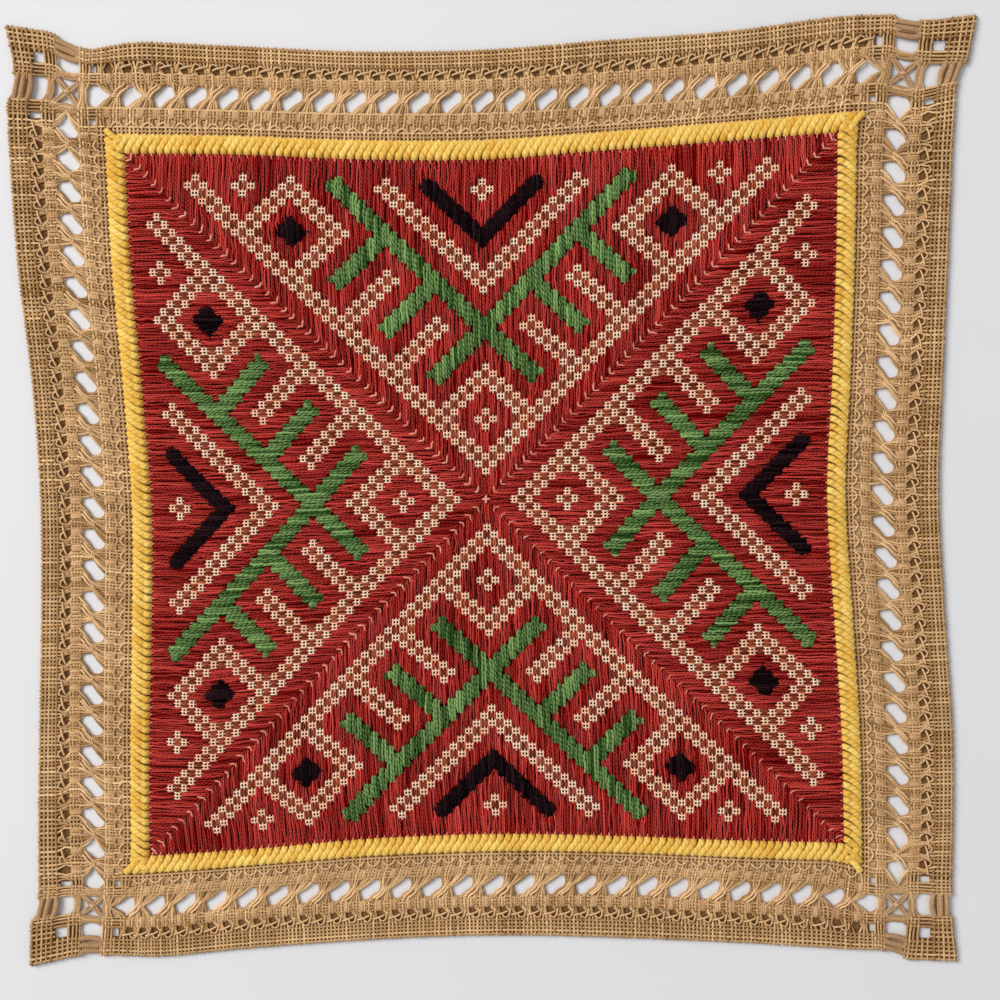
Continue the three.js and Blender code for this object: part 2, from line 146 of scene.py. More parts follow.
# For each corner (side_x, side_y): rows at the inner knots, outer knots and edge counted up or down,
# each with the [x, y] of the inner knots, outer knots and edge counted left or right
CORNER_PLACES = {
    (-1, 1): (
        ((-107.5, 107.3), (-117.2, 109.5), (-128.0, 110.0)),
        ((-106.8, 116.6), (-115.6, 119.0), (-125.6, 120.0)),
        ((-106.2, 124.3), (-116.0, 129.3), (-127.6, 131.2)),
    ),
    (1, 1): (
        ((108.3, 109.3), (118.0, 107.3), (128.2, 109.5)),
        ((110.0, 119.3), (119.7, 117.6), (131.8, 117.0)),
        ((110.5, 129.0), (120.5, 127.2), (133.9, 128.5)),
    ),
    (-1, -1): (
        ((-108.5, -107.0), (-117.2, -106.5), (-128.0, -107.0)),
        ((-109.3, -115.7), (-118.3, -114.5), (-130.8, -116.0)),
        ((-110.0, -125.0), (-118.8, -125.2), (-131.5, -127.8)),
    ),
    (1, -1): (
        ((107.0, -111.0), (115.7, -110.5), (126.7, -111.0)),
        ((106.5, -119.0), (116.0, -120.0), (127.0, -120.5)),
        ((106.5, -127.9), (114.5, -131.0), (128.2, -131.8)),
    ),
}

# How far the worked field is pulled, as [x, y] in millimetres, at counts 72 and 36 each side of its
# middle. Rows run from the top side down.
PULL_COUNTS = (-72, -36, 0, 36, 72)
FIELD_PULLS = (
    ((-1.2, 0.1), (-1.1, 0.7), (-0.4, 0.2), (-0.2, 0.3), (0.5, 0.8)),
    ((-1.0, 0.0), (-1.1, 0.7), (-0.3, -0.3), (-0.1, 0.7), (0.0, 0.4)),
    ((-0.6, -0.5), (-1.2, 0.4), (-0.9, 0.7), (-1.2, 0.1), (-0.5, 0.4)),
    ((-1.5, -1.0), (-1.8, -0.3), (-0.8, 0.9), (-0.5, -0.7), (-0.1, 0.1)),
    ((-1.4, -1.3), (-1.4, 0.0), (-0.3, 0.1), (0.1, -0.5), (0.7, -0.6)),
)
PULL_FADE = 20.0

# How far the border slides along each side at its two ends, in threads
BORDER_SLIDES = {
    Side.TOP: (0.2, 0.9),
    Side.RIGHT: (0.0, 0.9),
    Side.BOTTOM: (0.9, 1.3),
    Side.LEFT: (0.2, 0.8),
}


def smooth(x: np.ndarray, low: float, high: float) -> np.ndarray:
    """A smooth step of x from 0 at low to 1 at high."""
    t = np.clip((x - low) / (high - low), 0.0, 1.0)
    return t * t * (3 - 2 * t)


def between(grid: np.ndarray, row: np.ndarray, column: np.ndarray, up: np.ndarray,
            across: np.ndarray) -> np.ndarray:
    """The [x, y] of a place between four points of a grid.

    Args:
        grid: An [x, y] for each row and column.
        row: Row of the two lower points.
        column: Column of the two left points.
        up: Share of the way to the next row.
        across: Share of the way to the next column.

    Returns:
        An [x, y] for each place.
    """
    across = across[..., None]
    up = up[..., None]
    low = grid[row, column] * (1 - across) + grid[row, column + 1] * across
    high = grid[row + 1, column] * (1 - across) + grid[row + 1, column + 1] * across
    return low * (1 - up) + high * up


class ClothPlan:
    """Turns thread counts into places on the pulled cloth, in millimetres, as the CAD source does."""

    def __init__(self) -> None:
        """Reads the side tables and works out how far each corner knot is pulled."""
        self.rows = {side: np.array(rows, dtype=float) for side, rows in SIDE_LINES.items()}
        self.pulls: dict[tuple[int, int], np.ndarray] = {}
        knots = (INNER_KNOT, OUTER_KNOT, EDGE)
        for (side_x, side_y), rows in CORNER_PLACES.items():
            grid = np.zeros((3, 3, 2))
            for i, b in enumerate(knots):
                for j, a in enumerate(knots):
                    x, y = self._by_sides(np.array([side_x * a]), np.array([side_y * b]))
                    grid[i, j] = np.array(rows[i][j]) - (x[0], y[0])
            self.pulls[(side_x, side_y)] = grid

    def _read(self, side: Side, along: np.ndarray, column: int) -> np.ndarray:
        """A column of a side's table between its rows, on a smooth curve through them."""
        rows = self.rows[side]
        last = len(rows) - 1
        stops = rows[:, 0]
        value = rows[:, column]
        along = np.clip(along, stops[0], stops[last])
        i = np.clip(np.searchsorted(stops, along, side="left") - 1, 0, last - 1)
        before = value[np.maximum(i - 1, 0)]
        start = value[i]
        end = value[i + 1]
        after = value[np.minimum(i + 2, last)]
        t = (along - stops[i]) / (stops[i + 1] - stops[i])
        leave = (end - before) / 2
        arrive = (after - start) / 2
        bend = 3 * (end - start) - 2 * leave - arrive + t * (2 * (start - end) + leave + arrive)
        return start + t * (leave + t * bend)

    def _reach(self, side: Side, along: np.ndarray, count: np.ndarray) -> np.ndarray:
        """How far out a thread lies on one side."""
        field = self._read(side, along, 1)
        holes = self._read(side, along, 2)
        edge = self._read(side, along, 3)
        inner = field * count / FIELD
        middle = field + (holes - field) * (count - FIELD) / (HOLES - FIELD)
        outer = holes + (edge - holes) * (count - HOLES) / (EDGE - HOLES)
        return np.where(count <= FIELD, inner, np.where(count <= HOLES, middle, outer))

    def _by_sides(self, a: np.ndarray, b: np.ndarray) -> tuple[np.ndarray, np.ndarray]:
        """The place of thread a across and b up by the side tables alone."""
        right = self._reach(Side.RIGHT, b * THREAD, np.abs(a))
        left = self._reach(Side.LEFT, b * THREAD, np.abs(a))
        top = self._reach(Side.TOP, a * THREAD, np.abs(b))
        bottom = self._reach(Side.BOTTOM, a * THREAD, np.abs(b))
        pull_x, pull_y = self._field_pull(a, b)
        x = np.sign(a) * np.where(a >= 0, right, left) + pull_x
        y = np.sign(b) * np.where(b >= 0, top, bottom) + pull_y
        x = x + self._slide(Side.TOP, a, b) - self._slide(Side.BOTTOM, -a, -b)
        y = y + self._slide(Side.LEFT, b, -a) - self._slide(Side.RIGHT, -b, a)
        return x, y

    @staticmethod
    def _field_pull(a: np.ndarray, b: np.ndarray) -> tuple[np.ndarray, np.ndarray]:
        """How far the worked field is pulled at a place, in millimetres."""
        pulls = np.array(FIELD_PULLS)[::-1]
        first, last = PULL_COUNTS[0], PULL_COUNTS[-1]
        step = PULL_COUNTS[1] - first
        across = (np.clip(a, first, last) - first) / step
        up = (np.clip(b, first, last) - first) / step
        column = np.minimum(across.astype(int), len(PULL_COUNTS) - 2)
        row = np.minimum(up.astype(int), len(PULL_COUNTS) - 2)
        fade = 1 - smooth(np.maximum(np.abs(a), np.abs(b)), last, last + PULL_FADE)
        pull = between(pulls, row, column, up - row, across - column) * fade[..., None]
        return pull[..., 0], pull[..., 1]

    @staticmethod
    def _slide(side: Side, u: np.ndarray, w: np.ndarray) -> np.ndarray:
        """How far the border has slid along one side, in millimetres."""
        start, end = BORDER_SLIDES[side]
        amount = start + (end - start) * (np.clip(u / FIELD, -1, 1) + 1) / 2
        ends = 1 - smooth(np.abs(u), FIELD - 6, LAST_PLAIN)
        return amount * ends * smooth(w, LAST_PLAIN, INNER_RIB[1]) * THREAD

    @staticmethod
    def _grid_place(count: np.ndarray) -> np.ndarray:
        """A count as a place on a corner's grid, from 0 at the inner knots to 2 at the edge."""
        inside = np.clip((count - INNER_KNOT) / (OUTER_KNOT - INNER_KNOT), 0, 1)
        outside = np.minimum(1 + (count - OUTER_KNOT) / (EDGE - OUTER_KNOT), 2)
        return np.where(count <= OUTER_KNOT, inside, outside)

    def place(self, a: np.ndarray, b: np.ndarray) -> tuple[np.ndarray, np.ndarray]:
        """The place of thread a across and thread b up.

        Args:
            a: Thread counts to the right of the middle.
            b: Thread counts up from the middle.

        Returns:
            The x and y of each, in millimetres.
        """
        a = np.asarray(a, dtype=float)
        b = np.asarray(b, dtype=float)
        x, y = self._by_sides(a, b)
        near = smooth(np.abs(a), INNER_KNOT - CORNER_FADE, INNER_KNOT)
        near = near * smooth(np.abs(b), INNER_KNOT - CORNER_FADE, INNER_KNOT)
        s = self._grid_place(np.abs(a))
        t = self._grid_place(np.abs(b))
        column = np.minimum(s.astype(int), 1)
        row = np.minimum(t.astype(int), 1)
        for (side_x, side_y), grid in self.pulls.items():
            here = near * ((np.sign(a) == side_x) & (np.sign(b) == side_y))
            pull = between(grid, row, column, t - row, s - column)
            x = x + pull[..., 0] * here
            y = y + pull[..., 1] * here
        return x - CLOTH_CENTRE[0], y - CLOTH_CENTRE[1]


PLAN = ClothPlan()


class Guides:
    """Centre-lines of strands, gathered before one mesh is made of them."""

    def __init__(self) -> None:
        """Starts with no strands."""
        self.points: list[np.ndarray] = []
        self.girths: list[np.ndarray] = []
        self.shades: list[np.ndarray] = []

    def lay(self, a: np.ndarray, b: np.ndarray, z: np.ndarray, girth: float | np.ndarray = 1.0,
            shade: float = 0.5) -> None:
        """Adds one strand by thread counts.

        Args:
            a: Counts across, one for each point.
            b: Counts up, one for each point.
            z: Heights in millimetres.
            girth: Thickness of the strand as a share of its usual one.
            shade: 0 for the darkest yarn of its kind and 1 for the lightest.
        """
        x, y = PLAN.place(a, b)
        points = np.stack([x, y, np.broadcast_to(z, x.shape)], axis=1)
        self.points.append(points)
        self.girths.append(np.broadcast_to(np.asarray(girth, dtype=float), x.shape))
        self.shades.append(np.full(x.shape, shade))

    def lay_on(self, side: Side, u: np.ndarray, w: np.ndarray, z: np.ndarray,
               girth: float | np.ndarray = 1.0, shade: float = 0.5) -> None:
        """Adds one strand by counts along a side and out from the middle."""
        a, b = side.turn(np.asarray(u, dtype=float), np.asarray(w, dtype=float))
        self.lay(a, b, np.asarray(z, dtype=float), girth, shade)

    def mesh(self, name: str) -> bpy.types.Mesh:
        """One mesh of loose edges, with the girth and shade of each point."""
        points = np.concatenate(self.points) * MM
        edges = []
        first = 0
        for strand in self.points:
            run = np.arange(first, first + len(strand) - 1)
            edges.append(np.stack([run, run + 1], axis=1))
            first += len(strand)
        mesh = bpy.data.meshes.new(name)
        mesh.from_pydata(points.tolist(), np.concatenate(edges).tolist(), [])
        for attribute, values in (("girth", self.girths), ("shade", self.shades)):
            layer = mesh.attributes.new(attribute, "FLOAT", "POINT")
            layer.data.foreach_set("value", np.concatenate(values).astype(np.float32))
        return mesh


@dataclass(frozen=True)
class YarnSize:
    """How thick a kind of yarn is and how it wanders from its centre-line.

    Attributes:
        half_width: Half its width in millimetres.
        half_height: Half its height in millimetres.
        sides: Sides of its section.
        wander: How far it strays, in millimetres.
        wander_length: Millimetres over which it strays one way and back.
    """

    half_width: float
    half_height: float
    sides: int = 4
    wander: float = 0.0
    wander_length: float = 4.0


def linear(red: int, green: int, blue: int) -> tuple[float, float, float, float]:
    """A colour as seen on a screen, 0 to 255, as linear light."""
    values = [v / 255 for v in (red, green, blue)]
    light = [v / 12.92 if v <= 0.04045 else ((v + 0.055) / 1.055) ** 2.4 for v in values]
    return (*light, 1.0)


Colour = tuple[float, float, float, float]


class Wiring:
    """Places and links the nodes of one tree."""

    def __init__(self, tree: bpy.types.NodeTree) -> None:
        """Works on one tree."""
        self.tree = tree

    def put(self, kind: str, **values: object) -> bpy.types.Node:
        """Adds a node and fills it in.

        Args:
            kind: The node's type.
            values: As for fill.

        Returns:
            The node.
        """
        return self.fill(self.tree.nodes.new(kind), **values)

    def fill(self, node: bpy.types.Node, **values: object) -> bpy.types.Node:
        """Fills in a node.

        Args:
            node: The node.
            values: Its settings by name, in small letters, before values or sockets for its inputs, by
                name with a capital letter and _ for a space, or by number as _0, _1.

        Returns:
            The node.
        """
        for name, value in values.items():
            if name[0].islower():
                setattr(node, name, value)
                continue
            socket = node.inputs[int(name[1:]) if name[0] == "_" else name.replace("_", " ")]
            if isinstance(value, bpy.types.NodeSocket):
                self.tree.links.new(value, socket)
            else:
                socket.default_value = value
        return node

    def math(self, operation: str, *values: object) -> bpy.types.NodeSocket:
        """The result of one Math node."""
        inputs = {f"_{number}": value for number, value in enumerate(values)}
        return self.put("ShaderNodeMath", operation=operation, **inputs).outputs[0]

    def mix(self, share: object, first: object, second: object) -> bpy.types.NodeSocket:
        """A colour between two."""
        return self.put("ShaderNodeMix", data_type="RGBA", _0=share, _6=first, _7=second).outputs[2]

    def attribute(self, name: str) -> bpy.types.NodeSocket:
        """A float attribute of the surface."""
        return self.put("ShaderNodeAttribute", attribute_name=name).outputs["Fac"]

    def noise(self, place: bpy.types.NodeSocket, scale: object, detail: float) -> bpy.types.NodeSocket:
        """A noise texture at a place, from 0 to 1."""
        return self.put("ShaderNodeTexNoise", Vector=place, Scale=scale, Detail=detail).outputs["Fac"]

    def bump(self, height: bpy.types.NodeSocket, millimetres: float) -> bpy.types.NodeSocket:
        """The normal of a surface with this relief."""
        node = self.put("ShaderNodeBump", Height=height, Strength=1.0, Distance=millimetres * MM)
        return node.outputs["Normal"]


def some_shade(random: np.random.Generator, middle: float, spread: float, low: float, high: float) -> float:
    """A shade at random about a middle one, kept between two."""
    return float(np.clip(random.normal(middle, spread), low, high))


def start_material(name: str) -> tuple[bpy.types.Material, Wiring, bpy.types.Node, bpy.types.NodeSocket]:
    """A new material with its wiring, its surface node and its Object coordinates."""
    material = bpy.data.materials.new(name)
    material.use_nodes = True
    shade = Wiring(material.node_tree)
    body = material.node_tree.nodes["Principled BSDF"]
    return material, shade, body, shade.put("ShaderNodeTexCoord").outputs["Object"]


class ShaderGroups:
    """The node groups that the finishes share, each built once."""

    def __init__(self) -> None:
        """Builds both groups."""
        self.twist = self._twist()
        self.tint = self._tint()

    @staticmethod
    def _new(name: str, inputs: tuple, outputs: tuple) -> tuple:
        """An empty group: its wiring, the sockets that it is given and those that it fills."""
        shade = Wiring(bpy.data.node_groups.new(name, "ShaderNodeTree"))
        sockets = shade.tree.interface
        for label, kind, value in inputs:
            socket = sockets.new_socket(label, in_out="INPUT", socket_type=f"NodeSocket{kind}")
            if value is not None:
                socket.default_value = value
        for label, kind in outputs:
            sockets.new_socket(label, in_out="OUTPUT", socket_type=f"NodeSocket{kind}")
        return shade, shade.put("NodeGroupInput").outputs, shade.put("NodeGroupOutput")

    def _twist(self) -> bpy.types.NodeTree:
        """Plies that wind round a strand: their height, and a mask of the grooves between them."""
        shade, given, result = self._new(
            "yarn_twist",
            (("Along", "Float", 0.0), ("Across", "Float", 0.0), ("Plies per Metre", "Float", 900.0),
             ("Slant", "Float", 2.2), ("Position", "Vector", None), ("Fuzz Scale", "Float", 6000.0)),
            (("Height", "Float"), ("Groove", "Float")),
        )
        turns = shade.math("MULTIPLY", given["Along"], given["Plies per Metre"])
        turns = shade.math("MULTIPLY", turns, 2 * math.pi)
        lean = shade.math("MULTIPLY", given["Across"], given["Slant"])
        wave = shade.math("SINE", shade.math("ADD", turns, lean))
        fuzz = shade.math("MULTIPLY", shade.noise(given["Position"], given["Fuzz Scale"], 2.0), 1.4)
        height = shade.math("ADD", shade.math("MULTIPLY", wave, 0.5), fuzz)
        groove = shade.put("ShaderNodeMapRange", _0=wave, _1=-0.2, _2=-1.0, _3=0.0, _4=1.0)
        shade.fill(result, Height=height, Groove=groove.outputs[0])
        return shade.tree

    def _tint(self) -> bpy.types.NodeTree:
        """The colour of dyed yarn, from its strand's shade, patches of wear and painted shade in its grooves.
        """
        shade, given, result = self._new(
            "yarn_tint",
            (("Light", "Color", (0.8, 0.8, 0.8, 1)), ("Deep", "Color", (0.2, 0.2, 0.2, 1)),
             ("Shade", "Float", 0.5), ("Groove", "Float", 0.0), ("Groove Depth", "Float", 0.4),
             ("Position", "Vector", None), ("Patch Scale", "Float", 60.0), ("Fleck Scale", "Float", 2500.0)),
            (("Color", "Color"), ("Share", "Float")),
        )
        patch = shade.noise(given["Position"], given["Patch Scale"], 2.0)
        fleck = shade.noise(given["Position"], given["Fleck Scale"], 2.0)
        share = shade.math("MULTIPLY_ADD", patch, 0.5, -0.25)
        share = shade.math("ADD", share, shade.math("MULTIPLY_ADD", fleck, 0.9, -0.45))
        share = shade.math("ADD", share, given["Shade"])
        # Painted shade: the grooves between plies are darkened towards the deep colour.
        share = shade.math("SUBTRACT", share, shade.math("MULTIPLY", given["Groove"], given["Groove Depth"]))
        share = shade.put("ShaderNodeClamp", Value=share).outputs[0]
        shade.fill(result, Color=shade.mix(share, given["Deep"], given["Light"]), Share=share)
        return shade.tree


@dataclass(frozen=True)
class YarnFinish:
    """One dyed yarn: its thickness and its look.

    Attributes:
        name: Name of its material.
        slot: The record's slot for it; passed on but not used.
        size: Its thickness.
        light: Its colour where it is lightest.
        deep: Its colour where it is darkest.
        plies_per_metre: Ply ridges along a metre of yarn.
        slant: How far the ridges lean.
        groove_depth: How dark the painted shade in the grooves between plies is.
        bump: Height of the plies in millimetres.
        roughness: Of the surface.
        sheen: Soft shine of its fuzz.
        fuzz_scale: Hairs a metre.
        gloss: Strength of its plain reflection.
    """

    name: str
    slot: str
    size: YarnSize
    light: Colour
    deep: Colour
    plies_per_metre: float = 900.0
    slant: float = 2.2
    groove_depth: float = 0.35
    bump: float = 0.05
    roughness: float = 0.85
    sheen: float = 0.15
    fuzz_scale: float = 6000.0
    gloss: float = 0.1

    def material(self, groups: ShaderGroups) -> bpy.types.Material:
        """The yarn's material, with its groups linked up."""
        material, shade, body, place = start_material(self.name)
        twist = shade.put(
            "ShaderNodeGroup", node_tree=groups.twist, Along=shade.attribute("along"),
            Across=shade.attribute("across"), Plies_per_Metre=self.plies_per_metre, Slant=self.slant,
            Position=place, Fuzz_Scale=self.fuzz_scale).outputs
        # Painted shade: the tint darkens the colour in the grooves between plies.
        tint = shade.put(
            "ShaderNodeGroup", node_tree=groups.tint, Light=self.light, Deep=self.deep,
            Shade=shade.attribute("shade"), Groove=twist["Groove"], Groove_Depth=self.groove_depth,
            Position=place).outputs
        shade.fill(body, Base_Color=tint["Color"], Normal=shade.bump(twist["Height"], self.bump),
                   Roughness=self.roughness, Sheen_Weight=self.sheen, Sheen_Roughness=0.6,
                   Sheen_Tint=self.light, Specular_IOR_Level=self.gloss)
        return material


@dataclass(frozen=True)
class SheetFinish:
    """The cloth under the yarns: each zone's colour, which is painted shade, and the weave by thread count.

    Attributes:
        name: Name of its material.
        slot: The record's slot for it; passed on but not used.
        field: Painted shade under the wool, the dark red seen between the red strands.
        zones: Where each further zone starts, counted out from the middle, and its colour, which is painted
            shade in that zone's holes and gaps.
    """

    name: str
    slot: str
    field: Colour
    zones: tuple[tuple[float, Colour], ...]

    def material(self, groups: ShaderGroups) -> bpy.types.Material:
        """The sheet's material."""
        material, shade, body, place = start_material(self.name)
        counts = [shade.attribute(name) for name in ("count_a", "count_b")]
        out = shade.math("MAXIMUM", *(shade.math("ABSOLUTE", count) for count in counts))
        colour = self.field
        for start, zone in self.zones:
            colour = shade.mix(shade.math("GREATER_THAN", out, start), colour, zone)
        waves = [shade.math("SINE", shade.math("MULTIPLY", count, math.pi)) for count in counts]
        weave = shade.math("MULTIPLY", *waves)
        # Painted shade: along the weave pattern the colour is darkened towards near black.
        tint = shade.put(
            "ShaderNodeGroup", node_tree=groups.tint, Light=colour,
            Deep=shade.mix(0.45, colour, (0.02, 0.01, 0.004, 1)), Shade=0.75,
            Groove=shade.math("ABSOLUTE", weave), Groove_Depth=0.2, Position=place).outputs
        shade.fill(body, Base_Color=tint["Color"], Normal=shade.bump(weave, 0.1), Roughness=0.9,
                   Specular_IOR_Level=0.2)
        return material


TAN_THREAD = YarnFinish(
    "tan_linen_thread", "ground_cloth", YarnSize(0.33, 0.27, wander=0.15, wander_length=2.2),
    linear(252, 212, 158), linear(150, 108, 58),
    plies_per_metre=1400, bump=0.03, roughness=0.8, sheen=0.05, gloss=0.2)
SEWING_THREAD = YarnFinish(
    "tan_sewing_thread", "ground_cloth", YarnSize(0.24, 0.2, wander=0.06),
    linear(240, 200, 150), linear(176, 134, 88),
    plies_per_metre=1800, bump=0.03, groove_depth=0.25, sheen=0.05, gloss=0.2)
WRAPPED_THREAD = YarnFinish(
    "wrapped_linen_bar", "ground_cloth", YarnSize(0.58, 0.42, sides=8, wander=0.12),
    linear(226, 186, 142), linear(140, 100, 62),
    plies_per_metre=2100, slant=0.3, groove_depth=0.5, bump=0.08)
PALE_THREAD = YarnFinish(
    "pale_linen_thread", "ground_cloth", YarnSize(0.25, 0.22),
    linear(255, 230, 200), linear(252, 186, 146),
    plies_per_metre=1400, bump=0.02, roughness=0.8, sheen=0.08, gloss=0.2)
SEAM_THREAD = YarnFinish(
    "pink_seam_thread", "ground_cloth", YarnSize(0.25, 0.22),
    linear(250, 178, 150), linear(206, 104, 84),
    plies_per_metre=1400, bump=0.02, roughness=0.8, sheen=0.08, gloss=0.2)
YELLOW_WOOL = YarnFinish(
    "yellow_wool_yarn", "yellow_wool", YarnSize(0.9, 0.28, sides=6),
    linear(255, 222, 122), linear(222, 162, 52),
    plies_per_metre=700, slant=2.5, groove_depth=0.35, bump=0.06, sheen=0.08)
RED_WOOL = YarnFinish(
    "red_wool_yarn", "red_wool", YarnSize(0.25, 0.25, wander=0.16, wander_length=2.2),
    linear(232, 86, 76), linear(114, 0, 0),
    plies_per_metre=850, slant=2.6, groove_depth=0.5, bump=0.08, sheen=0.03, gloss=0.03)
# Browner red for the short floats between marks: partly painted shade, partly the pale ground blending with
# the red.
RED_BETWEEN_MARKS = YarnFinish(
    "red_wool_between_marks", "red_wool", YarnSize(0.25, 0.25, wander=0.16, wander_length=2.2),
    linear(204, 108, 78), linear(104, 34, 14),
    plies_per_metre=850, slant=2.6, groove_depth=0.35, bump=0.06, sheen=0.1)
GREEN_WOOL = YarnFinish(
    "green_wool_yarn", "green_wool", YarnSize(0.4, 0.36, sides=5, wander=0.14),
    linear(150, 186, 112), linear(34, 68, 22),
    plies_per_metre=700, slant=2.4, groove_depth=0.5, bump=0.1, sheen=0.03, gloss=0.03)
BLACK_WOOL = YarnFinish(
    "black_wool_yarn", "black_wool", YarnSize(0.4, 0.36, sides=5, wander=0.14),
    linear(48, 28, 34), linear(4, 0, 1),
    plies_per_metre=700, slant=2.4, groove_depth=0.5, bump=0.12, sheen=0.05, gloss=0.05)
# All the sheet's colours are painted shade, the colour of the shade that shows between the yarns.
CLOTH_SHEET = SheetFinish(
    # Field: painted shade, the dark red seen between the red strands.
    "linen_sheet_painted_shade", "ground_cloth", field=linear(74, 12, 8),
    zones=(
        # Plain band: painted shade in the weave holes.
        (BORDER - 2, linear(124, 86, 42)),
        # Gap inside the inner knots: painted shade, the floor seen in shade through the gap.
        (LAST_PLAIN - 0.6, linear(206, 168, 118)),
        # Inner knots: painted shade in the gaps between their threads.
        (INNER_RIB[0] + 0.2, linear(120, 84, 44)),
        # Drawn zone: painted shade, the floor seen in shade through the openings.
        (INNER_RIB[1] + 0.1, linear(204, 164, 126)),
        # Outer knots: painted shade in the gaps between their threads.
        (OUTER_RIB[0] + 0.1, linear(120, 84, 44)),
        # Band below the hem: the hem's painted shadow.
        (OUTER_RIB[1] + 0.2, linear(124, 90, 52)),
        # Hem: painted shade in the holes of the doubled weave.
        (HEM, linear(112, 78, 32)),
    ))


def show(name: str, data: bpy.types.ID) -> bpy.types.Object:
    """A new object in the scene."""
    thing = bpy.data.objects.new(name, data)
    bpy.context.scene.collection.objects.link(thing)
    return thing


def dress(piece: bpy.types.Object, slot: str, *nodes: str) -> bpy.types.Object:
    """Rides a piece on the mat and hides the CAD nodes that it stands for."""
    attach(piece, "root")
    if nodes:
        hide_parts(*nodes)
    triangles = sum(len(face.vertices) - 2 for face in piece.data.polygons)
    log.info("%s: %d triangles", piece.name, triangles)
    return piece


